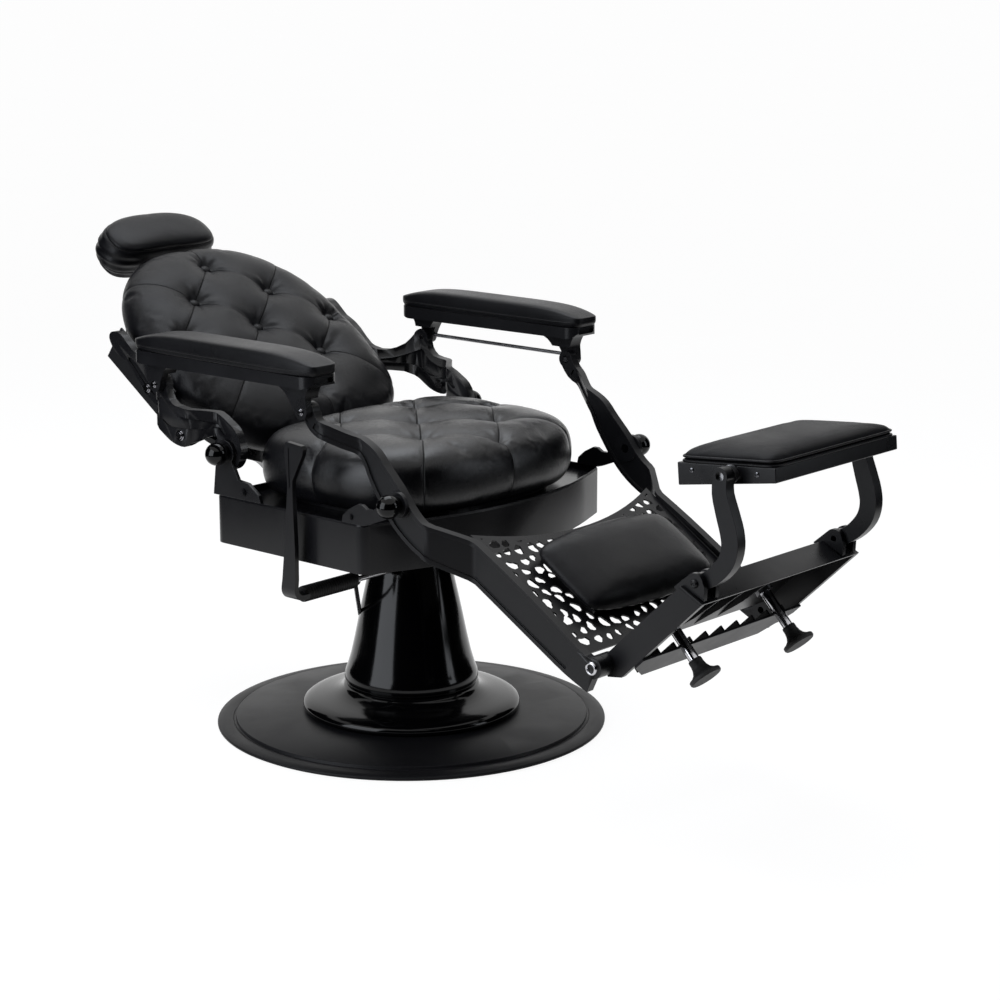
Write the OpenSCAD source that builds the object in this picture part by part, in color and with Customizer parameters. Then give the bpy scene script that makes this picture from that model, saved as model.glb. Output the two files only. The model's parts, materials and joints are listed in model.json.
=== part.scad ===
// Reclining barber chair on a lifting pedestal, built from separate pieces.
// Millimetres, Z up, front of the chair along -Y, origin under the column on the floor.

/* [Base and pedestal] */
// Diameter of the floor disc
base_d = 700; // [500:10:900]
// Height of the floor disc at its middle
base_h = 26; // [18:1:40]
// Diameter of the glossy collar
collar_d = 394; // [300:2:460]
// Height of the collar above the disc
collar_h = 45; // [30:1:70]
// Diameter of the cone cover at its foot
cone_d = 241; // [180:1:300]
// Height of the cone cover
cone_h = 280; // [220:5:360]
// Outer diameter of the lifting cylinder
column_d = 90; // [70:1:110]
// Diameter of the lifting ram
ram_d = 60; // [40:1:65]

/* [Seat] */
// How far the seat pan stands out beyond the side castings
pan_out = 16; // [10:1:40]
// How much shorter the sides of the pan are than the cushion
pan_in = 52; // [40:1:90]
// How far the front of the pan bows out
pan_bow = 70; // [30:1:100]
// Height of the seat pan
pan_h = 84; // [60:1:110]
// Width of the seat cushion
seat_w = 532; // [440:2:560]
// Length of the seat cushion
seat_l = 418; // [360:2:440]
// Thickness of the seat cushion
seat_t = 117; // [80:1:130]

/* [Linkage] */
// Distance between the recline pivot and the leg rest pivot
link_base = 406; // [360:2:450]
// Distance of the recline pivot behind the column
recline_back = 146; // [120:1:170]
// Height of the recline pivot above the seat pan
recline_rise = 77; // [60:1:95]
// Distance from the side of the cushion to the middle of the side castings
casting_out = 26; // [20:1:40]
// How far the castings jog outward to the armrest pins
arm_jog = 38; // [32:1:60]
// How far the leg castings jog inward to their rails
rail_jog = 54; // [40:1:70]
// Thickness of the side castings
cast_t = 16; // [12:0.5:18]
// Width of the raised bead along the casting edges
bead_w = 7; // [4:0.5:9]
// Depth of the recessed web of the castings
web_in = 3.5; // [2:0.5:5]

/* [Backrest] */
// Width of the back cushion
back_w = 484; // [420:2:500]
// Length of the back cushion
back_l = 517; // [460:2:560]
// Thickness of the back cushion
back_t = 104; // [80:1:120]
// Angle of the back above level, as photographed
back_tilt = 35; // [30:1:40]
// Width of the headrest pad
head_w = 264; // [220:2:300]
// Thickness of the headrest pad
head_t = 74; // [50:1:90]

/* [Armrests] */
// Width of the armrests
arm_w = 75; // [66:1:78]
// Height of the armrest pads
arm_pad_t = 34; // [24:1:44]
// Diameter of the tie rod
tie_d = 7; // [5:0.5:10]

/* [Leg rest] */
// Thickness of the pierced panel
panel_t = 3; // [2:0.5:5]
// Spacing of the openings in the pierced panel
cell = 27; // [24:1:36]
// Width of the calf pad
calf_w = 328; // [280:2:350]
// Length of the calf pad
calf_l = 150; // [120:2:170]
// Thickness of the calf pad
calf_t = 52; // [36:1:64]

/* [Footrest] */
// Length of the footrest side arms
foot_l = 208; // [180:2:230]
// How far the footrest stands inside the leg rest rails
foot_in = 25; // [20:1:34]
// Thickness of the footrest side arms
foot_arm_t = 10; // [6:1:12]
// Distance of the foot posts from the middle
post_x = 127; // [100:1:150]
// Angle of the footrest against level
foot_tilt = 43.5; // [38:0.5:48]
// Gap between the foot pad's box and its arms
pad_gap = 12; // [6:1:30]
// Thickness of the foot pad cushion
pad_t = 26; // [18:1:36]

/* [Details] */
// Diameter of the ball knobs
knob_d = 40; // [30:1:46]
// Diameter of the pump sleeve
sleeve_d = 28; // [20:1:34]
// Thickness of the pump lever
lever_t = 9; // [6:1:16]
// Number of sides used for round shapes
$fn = 64; // [32:8:96]

/* [Hidden] */
// Running clearance around a pin
fit = 0.06;
// Side clearance between moving pieces
gap = 0.4;
// Gap under the turning cone
turn_gap = 1;
// Overrun of cutting shapes
eps = 1;
// Thin sheet
sheet = 4;
// Radius of the armrest pins
pin_r = 5;
// Radius of the knob shanks
shank_r = 8;
// Radius of the footrest hinge screws
hinge_r = 6;
// Extra radius of the open pivot at the front armrest pins
open_play = 1.7;

// Levels
cone_z = base_h + collar_h + turn_gap;
plate_z = cone_z + cone_h;
plate_t = 7;
pan_z = plate_z + plate_t;
pan_top = pan_z + pan_h;
board_t = 8;
lid_drop = 12;
seat_z = pan_top - lid_drop + board_t + gap;

// Distances of the side pieces from the middle
side_x = seat_w/2 + casting_out;
arm_x = side_x + arm_jog;
rail_x = side_x - rail_jog;
foot_x = rail_x - foot_in;
pan_w = 2*(side_x + pan_out);
pan_l = seat_l - pan_in;

// Linkage points as [y, z], all as shares of the pivot distance
function lay(p) = [recline_back + link_base*p[0], pan_top + recline_rise + link_base*p[1]];
recline = lay([0, 0]);
leg_share = [-1, -0.0739];
arm_back_share = [0.3103, 0.2685];
arm_front_share = [-0.5788, 0.2635];
foot_share = [-1.8892, -0.6059];
pad_rise_shares = [-0.0887, 0.4163];
bolt_low_share = [0.1897, 0.0591];
bolt_high_share = [0.5837, 0.1921];
back_mid_share = [0.5468, 0.2857];
panel_mid_share = [-1.5296, -0.3966];
leg = lay(leg_share);
arm_back = lay(arm_back_share);
arm_front = lay(arm_front_share);
foot = lay(foot_share);
// The clamps are placed from the end of the foot arms, and the pad's pivot from the clamps
clamp_out = 20.5;
clamp_up = 1;
clamp_at = [-foot_l - clamp_out, clamp_up];
clamp = foot + [clamp_at[0]*cos(foot_tilt) + clamp_at[1]*sin(foot_tilt),
  clamp_at[1]*cos(foot_tilt) - clamp_at[0]*sin(foot_tilt)];
pad = clamp + link_base*pad_rise_shares;

bracket_x = side_x + cast_t/2 + gap;
bracket_t = 7.6;
knob_x = bracket_x + bracket_t;
lap_x = arm_x + cast_t/2 + gap;
lap_t = 13;
in_x = arm_x - cast_t/2;
back_out = 22;
back_x = back_w/2 + back_out;
half_cast = cast_t/2;
reach = side_x*1.4;
deep = 3*link_base;

// helpers
function cr(a, b, c, d, t) =
  (2*b + (c - a)*t + (2*a - 5*b + 4*c - d)*t*t + (3*b - a - 3*c + d)*t*t*t)/2;
// Smooth curve through the points of an open path
function smooth(p, n) = let(m = len(p) - 1) concat(
  [for (i = [0:m - 1], k = [0:n - 1])
    cr(p[max(i - 1, 0)], p[i], p[i + 1], p[min(i + 2, m)], k/n)], [p[m]]);
// Smooth curve through the points of a closed outline
function loop(p, n) = let(m = len(p)) [for (i = [0:m - 1], k = [0:n - 1])
  cr(p[(i + m - 1)%m], p[i], p[(i + 1)%m], p[(i + 2)%m], k/n)];
// Linkage shares turned into points
function laid(p) = [for (q = p) lay(q)];
// Stations [y, z, half width] as shares turned into sizes
function stations(p) = [for (q = p) concat(lay(q), [q[2]*link_base])];
function side_of(s, i, k) = let(a = s[max(i - 1, 0)], b = s[min(i + 1, len(s) - 1)],
  d = [b[0] - a[0], b[1] - a[1]], m = norm(d))
  [s[i][0] - k*s[i][2]*d[1]/m, s[i][1] + k*s[i][2]*d[0]/m];
// Outline of a strip that follows the stations
function strip(s) = concat([for (i = [0:len(s) - 1]) side_of(s, i, 1)],
  [for (i = [len(s) - 1:-1:0]) side_of(s, i, -1)]);
function narrow(s, by) = [for (q = s) [q[0], q[1], q[2] - by]];
function cut_ends(s, a, b) = [for (i = [a:len(s) - 1 - b]) s[i]];
// Point of a superellipse with its own length and exponent on each side
function oval(t, a, b_up, b_low, n_up, n_low) = let(c = cos(t), s = sin(t),
  n = s >= 0 ? n_up : n_low, b = s >= 0 ? b_up : b_low)
  [a*sign(c)*pow(abs(c), 2/n), b*sign(s)*pow(abs(s), 2/n)];

// A shape drawn in Y and Z, made solid from x0 to x1
module yz(x0, x1) translate([x0, 0, 0]) rotate([90, 0, 90]) linear_extrude(x1 - x0) children();
// A rod along X
module rod_x(x0, x1, p, r) translate([x0, p[0], p[1]]) rotate([0, 90, 0]) cylinder(x1 - x0, r, r);
// A disc drawn at a point of the Y and Z plane
module eye(p, r) translate(p) circle(r);
module both() { children(); mirror([1, 0, 0]) children(); }
// A wall of even thickness that follows a plan path of [x, y] points
module plan_wall(path, half, low, high) translate([0, 0, low]) linear_extrude(high - low)
  polygon(concat([for (q = path) [q[0] + half, q[1]]],
    [for (i = [len(path) - 1:-1:0]) [path[i][0] - half, path[i][1]]]));
function moved(path, by) = [for (q = path) [q[0] + by, q[1]]];
// A plate with a side outline that follows a plan path, with recessed webs on both faces
module jogged(path, low, high) {
  difference() {
    intersection() {
      yz(0, reach) children(0);
      plan_wall(path, half_cast, low, high);
    }
    for (k = [1, -1])
      intersection() {
        yz(0, reach) children(1);
        plan_wall(moved(path, k*(cast_t - web_in)), half_cast, low - eps, high + eps);
      }
  }
}
// Frame of the reclined back, local Y up along the back and Z out of its face
module on_back() {
  p = lay(back_mid_share);
  translate([0, p[0], p[1]]) rotate([back_tilt, 0, 0]) children();
}
// Frame of the footrest, local -Y along the side arms
module on_foot() translate([0, foot[0], foot[1]]) rotate([-foot_tilt, 0, 0]) children();
// Stuffed shape: rings of [share, height, relief share] between a low and a high middle
module stuffed(rings, m, outline, relief) {
  n = len(rings);
  low_mid = [0, 0, rings[0][1]];
  high_mid = [0, 0, rings[n - 1][1] + relief(0, 0)*rings[n - 1][2]];
  pts = concat([for (r = rings, i = [0:m - 1]) let(o = outline(360*i/m))
    [o[0]*r[0], o[1]*r[0], r[1] + relief(o[0]*r[0], o[1]*r[0])*r[2]]], [low_mid, high_mid]);
  walls = [for (j = [0:n - 2], i = [0:m - 1]) let(k = (i + 1)%m)
    each [[j*m + i, (j + 1)*m + i, (j + 1)*m + k], [j*m + i, (j + 1)*m + k, j*m + k]]];
  low_cap = [for (i = [0:m - 1]) [n*m, i, (i + 1)%m]];
  high_cap = [for (i = [0:m - 1]) [n*m + 1, (n - 1)*m + (i + 1)%m, (n - 1)*m + i]];
  polyhedron(concat(pts), concat(walls, low_cap, high_cap), convexity = 6);
}
// Diamond tufting: valleys along both diagonals and a deeper dimple at each button
function tufted(x, y, hx, hy, mid, valley, dimple) = let(
  u = x/hx + (y - mid)/hy, w = x/hx - (y - mid)/hy,
  puff = sqrt(abs(sin(90*u)*sin(90*w))),
  du = abs(u - 2*round(u/2)), dw = abs(w - 2*round(w/2)), r = norm([du, dw]))
  -valley*(1 - puff) - dimple*exp(-r*r*button_share);
button_share = 9;

// base
ring_out_share = 0.983;
ring_in_share = 0.92;
disc_under_share = 0.19;
disc_shares = [[0, 1], [0.57, 1], [0.66, 0.9], [0.78, 0.76], [0.903, 0.6], [0.905, 0.38],
  [0.917, 0.37], [0.92, 0.43], [0.965, 0.4], [0.992, 0.31], [1, 0.24], [1, 0.1]];
disc_low_shares = [[0.983, 0.1], [0.983, 0.19], [0, 0.19]];

module floor_ring() color("#1a1a1a") difference() {
  cylinder(base_h*disc_under_share, base_d*ring_out_share/2, base_d*ring_out_share/2, $fn = 128);
  translate([0, 0, -eps])
    cylinder(base_h, base_d*ring_in_share/2, base_d*ring_in_share/2, $fn = 128);
}
module base_disc() color("#1d1d20") rotate_extrude($fn = 128)
  polygon([for (q = concat(disc_shares, disc_low_shares)) [q[0]*base_d/2, q[1]*base_h]]);

collar_shares = [[0.93, 0], [0.97, 0], [0.995, 0.12], [1, 0.26], [0.985, 0.42], [0.93, 0.54],
  [0.84, 0.67], [0.75, 0.78], [0.67, 0.89], [0.61, 1]];
module base_collar() color("#0c0c0e") translate([0, 0, base_h]) rotate_extrude($fn = 128)
  polygon(concat([for (q = collar_shares) [q[0]*collar_d/2, q[1]*collar_h]],
    [[column_d/2 + turn_gap, collar_h], [column_d/2 + turn_gap, flange_t*2],
     [foot_flange_d/2 + turn_gap, flange_t*2], [foot_flange_d/2 + turn_gap, 0]]));

foot_flange_d = 160;
flange_t = 8;
cylinder_h = 224;
bolt_ring = 66;
hex_d = 16;
hex_h = 6;
bore_floor = 20;
module lift_cylinder() color("#3a3a3e") translate([0, 0, base_h]) difference() {
  union() {
    cylinder(flange_t, foot_flange_d/2, foot_flange_d/2);
    cylinder(cylinder_h, column_d/2, column_d/2);
  }
  translate([0, 0, bore_floor]) cylinder(cylinder_h, ram_d/2 + fit, ram_d/2 + fit);
}
module cylinder_bolts() color("#8a8a90") for (a = [45:90:315])
  rotate([0, 0, a]) translate([bolt_ring, 0, base_h + flange_t]) cylinder(hex_h, hex_d/2, hex_d/2, $fn = 6);

ram_low = 34;
bearing_t = 6;
head_web = 22;
ram_top = plate_z - head_web;
module ram() color("#c9c9ce") translate([0, 0, base_h + ram_low])
  cylinder(ram_top - base_h - ram_low, ram_d/2, ram_d/2);
module thrust_bearing() color("#b0b0b4") translate([0, 0, ram_top])
  cylinder(bearing_t, ram_d/2 - turn_gap, ram_d/2 - turn_gap);

// seat group
cone_shares = [[0.972, 0], [0.995, 0.02], [1, 0.045], [0.985, 0.08], [0.945, 0.125], [0.895, 0.2],
  [0.835, 0.315], [0.765, 0.465], [0.697, 0.6], [0.63, 0.73], [0.58, 0.815], [0.53, 0.905],
  [0.49, 1]];
head_d = 88;
head_step = 5;
neck_d = 80;
head_h = 90;
shaft_d = 10;
shaft_y = -27;
shaft_drop = 55;
shaft_z = plate_z - shaft_drop;
shaft_in = 25;
module cone_shell(by, top) rotate_extrude($fn = 96) polygon(concat(
  [[0, 0]], [for (q = cone_shares) [max(q[0]*cone_d/2 - by, 0), q[1]*top]], [[0, top]]));
module pedestal_cone() color("#0c0c0e") difference() {
  translate([0, 0, cone_z]) difference() {
    cone_shell(0, cone_h);
    translate([0, 0, -eps]) cone_shell(sheet, cone_h - head_step + eps);
    cylinder(cone_h + eps, neck_d/2, neck_d/2);
  }
  rod_x(-cone_d, 0, [shaft_y, shaft_z], shaft_d);
  stay_rod();
}
module pump_head() color("#55555a") difference() {
  union() {
    translate([0, 0, plate_z - head_h]) cylinder(head_h - head_step, head_d/2, head_d/2);
    translate([0, 0, plate_z - head_h]) cylinder(head_h, neck_d/2, neck_d/2);
  }
  translate([0, 0, plate_z - head_h - eps])
    cylinder(ram_top + bearing_t + gap - plate_z + head_h + eps, ram_d/2 + fit, ram_d/2 + fit);
  rod_x(-head_d, -shaft_in, [shaft_y, shaft_z], shaft_d/2 + fit);
}
mount_w = 200;
module mount_plate() color("#1d1d20") translate([-mount_w/2, -mount_w/2, plate_z])
  cube([mount_w, mount_w, plate_t]);
module mount_bolts() color("#8a8a90") for (x = [-1, 1], y = [-1, 1])
  translate([x*mount_w*0.4, y*mount_w*0.4, plate_z - hex_h]) cylinder(hex_h, hex_d/2, hex_d/2, $fn = 6);

pan_reach = 30;
pan_back = recline_back + pan_reach;
pan_corner = 22;
lip_step = 1.5;
function arc(c, r, a0, a1, n) = [for (i = [0:n]) c + r*[cos(a0 + (a1 - a0)*i/n), sin(a0 + (a1 - a0)*i/n)]];
function pan_line(by) = let(w = pan_w/2 - by, r = pan_corner - by, b = pan_back - by,
  f = pan_back - pan_l + by, c = w - r, s = pan_bow - by/4) concat(
  arc([c, b - r], r, 0, 90, 6), arc([-c, b - r], r, 90, 180, 6),
  arc([-c, f + r], r, 180, 250, 6),
  [for (i = [-9:9]) [c*i/10, f - s*(1 - i*i/100)]], arc([c, f + r], r, 290, 360, 6));
module seat_pan() color("#1d1d20") translate([0, 0, pan_z]) difference() {
  union() {
    linear_extrude(pan_h - 2*lip_step) polygon(pan_line(0));
    linear_extrude(pan_h - lip_step) polygon(pan_line(lip_step/2));
    linear_extrude(pan_h) polygon(pan_line(lip_step));
  }
  translate([0, 0, sheet]) linear_extrude(pan_h) polygon(pan_line(sheet));
}
module pan_lid() color("#1d1d20") translate([0, 0, pan_top - lid_drop - sheet])
  linear_extrude(sheet) polygon(pan_line(sheet));

seat_up_share = 0.4545;
seat_low_share = 0.5455;
seat_reach = 22;
seat_mid = recline_back + seat_reach - seat_l*seat_up_share;
function seat_line(t) = oval(t, seat_w/2, seat_l*seat_up_share, seat_l*seat_low_share, 4.5, 3);
seat_ring_shares = [[0.5, 0, 0], [0.84, 0, 0], [0.905, 0.04, 0], [0.955, 0.13, 0], [0.99, 0.27, 0],
  [1, 0.42, 0], [0.995, 0.6, 0], [0.975, 0.76, 0.05], [0.93, 0.88, 0.2], [0.87, 0.955, 0.5],
  [0.78, 0.995, 0.8], [0.68, 1.005, 1], [0.58, 1, 1], [0.48, 0.99, 1], [0.38, 0.98, 1],
  [0.28, 0.975, 1], [0.18, 0.97, 1], [0.09, 0.97, 1]];
tuft_x_share = 0.357;
tuft_y_share = 0.464;
seat_valley = 7;
seat_dimple = 9;
seat_button = 2;
seat_board_share = 0.82;
module seat_board() color("#6b4a2f") translate([0, seat_mid, pan_top - lid_drop]) linear_extrude(board_t)
  polygon([for (i = [0:63]) seat_line(360*i/64)*seat_board_share]);
module seat_cushion() color("#24242a") translate([0, seat_mid, seat_z])
  stuffed([for (r = seat_ring_shares) [r[0], r[1]*seat_t, r[2]]], 48, function(t) seat_line(t),
    function(x, y) tufted(x, y, seat_w*tuft_x_share/2, seat_l*tuft_y_share/2,
      seat_button, seat_valley, seat_dimple));

// Brackets that carry the pivots
front_foot_back = 124;
front_foot_in = 76;
bracket_eye = 22;
front_rise_shares = [[0, 0], [0.02, 0.2], [0.14, 0.42], [0.3, 0.6], [0.38, 0.6], [0.46, 0.5],
  [0.56, 0.5], [0.7, 0.66], [0.82, 0.9]];
module front_bracket() color("#1d1d20") difference() {
  yz(bracket_x, knob_x) {
    polygon(concat(
      [for (q = front_rise_shares) [leg[0] + front_foot_back*(1 - q[0]),
        pan_top + (leg[1] - pan_top)*1.25*q[1]]],
      [[leg[0], leg[1]], [leg[0] + bracket_eye*0.8, leg[1] - bracket_eye*1.15],
       [leg[0] + front_foot_in - bracket_eye/2, pan_top + lip_step*2], [leg[0] + front_foot_in, pan_top]]));
    eye(leg, bracket_eye);
  }
  rod_x(0, reach, leg, shank_r);
}
module rear_bracket() color("#1d1d20") difference() {
  yz(bracket_x, knob_x) {
    polygon([[pan_back, pan_top], [recline[0] + bracket_eye, recline[1] - bracket_eye*0.6],
      [recline[0], recline[1] + bracket_eye/2], [recline[0] - bracket_eye*0.7, recline[1] - bracket_eye*0.5],
      [recline[0] - bracket_eye*1.5, pan_top + bracket_eye*1.5],
      [recline[0] - bracket_eye*2.6, pan_top + bracket_eye*1.4],
      [recline[0] - bracket_eye*3.8, pan_top + bracket_eye*0.6],
      [recline[0] - bracket_eye*4, pan_top]]);
    eye(recline, bracket_eye);
  }
  rod_x(0, reach, recline, shank_r);
}
module front_brackets() both() front_bracket();
module rear_brackets() both() rear_bracket();

// Ball knob with a stepped collar, turned on its own axis
knob_step = 5;
module knob(p) color("#c9c9ce") translate([0, p[0], p[1]]) rotate([90, 0, 90]) union() {
  translate([0, 0, side_x - half_cast])
    cylinder(knob_x - side_x + half_cast, shank_r - fit, shank_r - fit);
  translate([0, 0, knob_x]) cylinder(knob_step, knob_d*0.38, knob_d*0.38);
  translate([0, 0, knob_x + knob_step*0.8]) intersection() {
    translate([0, 0, knob_d*0.34]) sphere(knob_d/2, $fn = 40);
    cylinder(knob_d, knob_d, knob_d);
  }
}
module pivot_knobs() both() {
  knob(leg);
  knob(recline);
}
bolt_head_d = 14;
bolt_head_h = 5;
bracket_bolt_y = 46;
bracket_bolt_z = 14;
module dome_x(x, p, d, h) translate([x, p[0], p[1]]) rotate([0, 90, 0]) union() {
  cylinder(h*0.4, d/2, d/2, $fn = 32);
  translate([0, 0, h*0.4]) cylinder(h*0.35, d*0.43, d*0.43, $fn = 32);
  translate([0, 0, h*0.75]) cylinder(h*0.25, d*0.3, d*0.3, $fn = 32);
}
module bracket_bolts() color("#c9c9ce") both() {
  dome_x(knob_x, [recline[0] - bracket_bolt_y, pan_top + bracket_bolt_z], bolt_head_d, bolt_head_h);
  dome_x(knob_x, [leg[0] + front_foot_back - bracket_bolt_z*1.5, pan_top + bracket_bolt_z*0.8],
    bolt_head_d*0.8, bolt_head_h*0.8);
}

// Pump lever on the sitter's right
lever_out = 22;
sleeve_back = 34;
sleeve_l = 124;
lever_x = pan_w/2 + lever_out;
sleeve_out = lever_x - sleeve_back;
sleeve_in = sleeve_out - sleeve_l;
elbow_r = 20;
lever_h = 271;
lever_shares = [[-0.048, -0.0517], [-0.0701, -0.0221], [-0.0886, 0.1255], [-0.0901, 0.3321],
  [-0.079, 0.6089], [-0.0769, 0.7565], [-0.1697, 0.9299], [-0.1771, 0.9668],
  [-0.1624, 0.9889], [-0.0369, 1], [-0.0185, 0.9889], [-0.0111, 0.941],
  [-0.034, 0.738], [-0.0234, 0.6273], [0.0032, 0.3321], [0.0269, 0.1255],
  [0.048, 0], [0.048, -0.0517]];
groove_shares = [[-0.1328, 0.941], [-0.0443, 0.9668], [-0.048, 0.7011]];
module pump_lever() color("#26262a") difference() {
  intersection() {
    translate([0, shaft_y, shaft_z]) yz(-reach, 0)
      polygon(lever_shares*lever_h);
    translate([0, shaft_y + reach/2, shaft_z]) rotate([90, 0, 0]) linear_extrude(reach)
      polygon(concat([[-lever_x - lever_t/2, lever_h + eps], [-lever_x - lever_t/2, elbow_r]],
        arc([-lever_x + elbow_r, elbow_r], elbow_r + lever_t/2, 180, 270, 8),
        [[-sleeve_out, -lever_t/2], [-sleeve_out, lever_t/2]],
        arc([-lever_x + elbow_r, elbow_r], elbow_r - lever_t/2, 270, 180, 6),
        [[-lever_x + lever_t/2, lever_h + eps]]));
  }
  translate([0, shaft_y, shaft_z]) yz(-lever_x - lever_t, -lever_x - lever_t/2 + lever_t*0.15)
    polygon(groove_shares*lever_h);
}
module lever_sleeve() color("#161618") difference() {
  rod_x(-sleeve_out, -sleeve_in, [shaft_y, shaft_z], sleeve_d/2);
  rod_x(-sleeve_out - eps, 0, [shaft_y, shaft_z], shaft_d/2);
}
module lever_shaft() color("#77777c")
  rod_x(-sleeve_out, -shaft_in - gap, [shaft_y, shaft_z], shaft_d/2);

stay_d = 8;
collar_t = 7;
stay_foot_shares = [-0.5, 0.573, -0.364];
module stay_rod() {
  a = [-sleeve_in + gap + collar_t/2, shaft_y, shaft_z - stay_d];
  b = [stay_foot_shares[0]*cone_d/2, stay_foot_shares[1]*cone_d/2, shaft_z + stay_foot_shares[2]*cone_h];
  d = b - a;
  translate(a) rotate([0, acos(d[2]/norm(d)), atan2(d[1], d[0])])
    cylinder(norm(d), stay_d/2, stay_d/2, $fn = 24);
}
module sleeve_stay() color("#b9b9be") difference() {
  union() {
    rod_x(-sleeve_in + gap, -sleeve_in + gap + collar_t, [shaft_y, shaft_z], sleeve_d*0.36);
    stay_rod();
  }
  rod_x(-reach, 0, [shaft_y, shaft_z], shaft_d/2 + fit);
  translate([-sleeve_in - reach + gap, -reach/2, 0]) cube([reach, reach, reach*2]);
}

// backrest
// Jogs as [share of the run, share of the step]
function jog(shares, y, run, x0, x1) = [for (q = shares) [x0 + (x1 - x0)*q[1], y + run*q[0]]];
jog_shares = [[0, 0], [0.2, 0.12], [0.5, 0.5], [0.8, 0.88], [1, 1]];
return_shares = [[0, 0], [0.128, 0.06], [0.295, 0.24], [0.5, 0.5], [0.744, 0.818], [0.897, 0.955], [1, 1]];
jog_start = 24;
jog_run = 40;
return_start = 132;
return_run = 78;
back_path = concat([[side_x, -reach]], jog(jog_shares, recline[0] + jog_start, jog_run, side_x, arm_x),
  jog(return_shares, recline[0] + return_start, return_run, arm_x, back_x), [[back_x, reach*2]]);
back_edge_shares = [
  [-0.0788, 0], [-0.0739, 0.0517], [-0.0468, 0.0985], [0, 0.1305], [0.0665, 0.1626],
  [0.1601, 0.1773], [0.2315, 0.1872], [0.266, 0.2217], [0.2759, 0.2586], [0.3103, 0.3079],
  [0.3473, 0.2808], [0.3793, 0.2365], [0.4409, 0.2069], [0.5074, 0.2266], [0.5887, 0.3005],
  [0.6305, 0.3645], [0.67, 0.4187], [0.6995, 0.4532], [0.734, 0.4704], [0.7734, 0.4606],
  [0.8054, 0.4384], [0.8251, 0.399], [0.8128, 0.3522], [0.7635, 0.3128], [0.7094, 0.2956],
  [0.6626, 0.2414], [0.6182, 0.1872], [0.5419, 0.1305], [0.4655, 0.1108], [0.3842, 0.101],
  [0.3054, 0.0567], [0.2586, 0.0296], [0.2118, 0.0148], [0.165, 0.0123], [0.133, 0.032],
  [0.0985, 0.0517], [0.064, 0.0567], [0.0345, 0.0197]];
back_web_shares = [
  [0.0099, 0.0788], [0.064, 0.1133], [0.1527, 0.1379], [0.2315, 0.1478], [0.2857, 0.1921],
  [0.3103, 0.2118], [0.3793, 0.1823], [0.4532, 0.1626], [0.5271, 0.1773], [0.6059, 0.2512],
  [0.6749, 0.3325], [0.6995, 0.3153], [0.6355, 0.2414], [0.5862, 0.1921], [0.5271, 0.1626],
  [0.4532, 0.1429], [0.3793, 0.1404], [0.3054, 0.1133], [0.2562, 0.0887], [0.1453, 0.0911],
  [0.0985, 0.0887], [0.0542, 0.0936], [0.0246, 0.069]];
module back_casting() color("#1f1f23") difference() {
  jogged(back_path, 0, deep) {
    union() {
      polygon(loop(laid(back_edge_shares), 2));
      eye(recline, cast_t*2);
      eye(arm_back, cast_t);
      eye(lay(bolt_high_share), back_bolt_d*0.6);
    }
    polygon(loop(laid(back_web_shares), 2));
  }
  rod_x(0, reach, recline, shank_r + fit);
  rod_x(0, reach, arm_back, pin_r + fit);
  rod_x(0, reach, lay(bolt_low_share), pin_r);
  rod_x(0, reach, lay(bolt_high_share), pin_r);
}
module back_casting_left() back_casting();
module back_casting_right() mirror([1, 0, 0]) back_casting();

bar_back = 77;
bar_drop = 68;
bar_plan_shares = [[1, 0.025], [0.845, 0.18], [0.704, 0.36], [0.528, 0.71], [0.317, 0.93], [0, 1]];
bar_front_shares = [[1, 0], [0.845, -0.22], [0.704, -0.426], [0.528, -0.824], [0.317, -0.97], [0, -1]];
bar_plan = [for (q = bar_plan_shares) [q[0]*(side_x - half_cast), q[1]*bar_back]];
bar_front = [for (q = bar_front_shares) [q[0]*(side_x - half_cast), q[1]*bar_drop]];
function mirrored(p) = concat(p, [for (i = [len(p) - 2:-1:0]) [-p[i][0], p[i][1]]]);
function ribbon(p, half) = concat([for (q = p) [q[0], q[1] + half]],
  [for (i = [len(p) - 1:-1:0]) [p[i][0], p[i][1] - half]]);
bar_half = 10;
module back_cross_bar() color("#161618") intersection() {
  translate([0, recline[0], 0]) linear_extrude(deep) polygon(ribbon(smooth(mirrored(bar_plan), 3), bar_half));
  translate([0, deep, recline[1]]) rotate([90, 0, 0]) linear_extrude(2*deep)
    polygon(ribbon(smooth(mirrored(bar_front), 3), bar_half));
}

back_low = -back_t*0.635;
board_low = back_low - 12;
back_down = 232.133;
back_up = back_l - back_down;
function back_line(t) = oval(t, back_w/2, back_up, back_down, 2.3, 3);
back_ring_shares = [[0.5, 0, 0], [0.8, 0, 0], [0.875, 0.04, 0], [0.94, 0.15, 0], [0.985, 0.31, 0],
  [1, 0.47, 0], [0.995, 0.62, 0], [0.975, 0.745, 0.1], [0.935, 0.84, 0.25], [0.88, 0.9, 0.5],
  [0.8, 0.955, 0.8], [0.7, 0.99, 1], [0.6, 1.005, 1], [0.5, 1.01, 1], [0.4, 1.01, 1],
  [0.3, 1.01, 1], [0.2, 1.01, 1], [0.1, 1.01, 1]];
back_tuft_x_share = 0.384;
back_tuft_y_share = 0.329;
back_button = 35;
back_valley = 9;
back_dimple = 12;
wing_x = back_x - half_cast;
wing_low = -55;
wing_high = 118;
wing_top = -10;
module back_board() color("#17171a") on_back() {
  translate([0, 0, board_low]) linear_extrude(back_low - board_low) union() {
    polygon([for (i = [0:63]) back_line(360*i/64)*0.9]);
    translate([-wing_x, wing_low]) square([2*wing_x, wing_high - wing_low]);
  }
  both() difference() {
    translate([wing_x - sheet, wing_low, back_low]) cube([sheet, wing_high - wing_low, wing_top - back_low]);
    translate([wing_x - sheet - eps, (wing_low + wing_high)/2, wing_top]) rotate([0, 90, 0])
      cylinder(sheet + 2*eps, sheet*4, sheet*4);
    bolt_on_back();
  }
}
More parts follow.
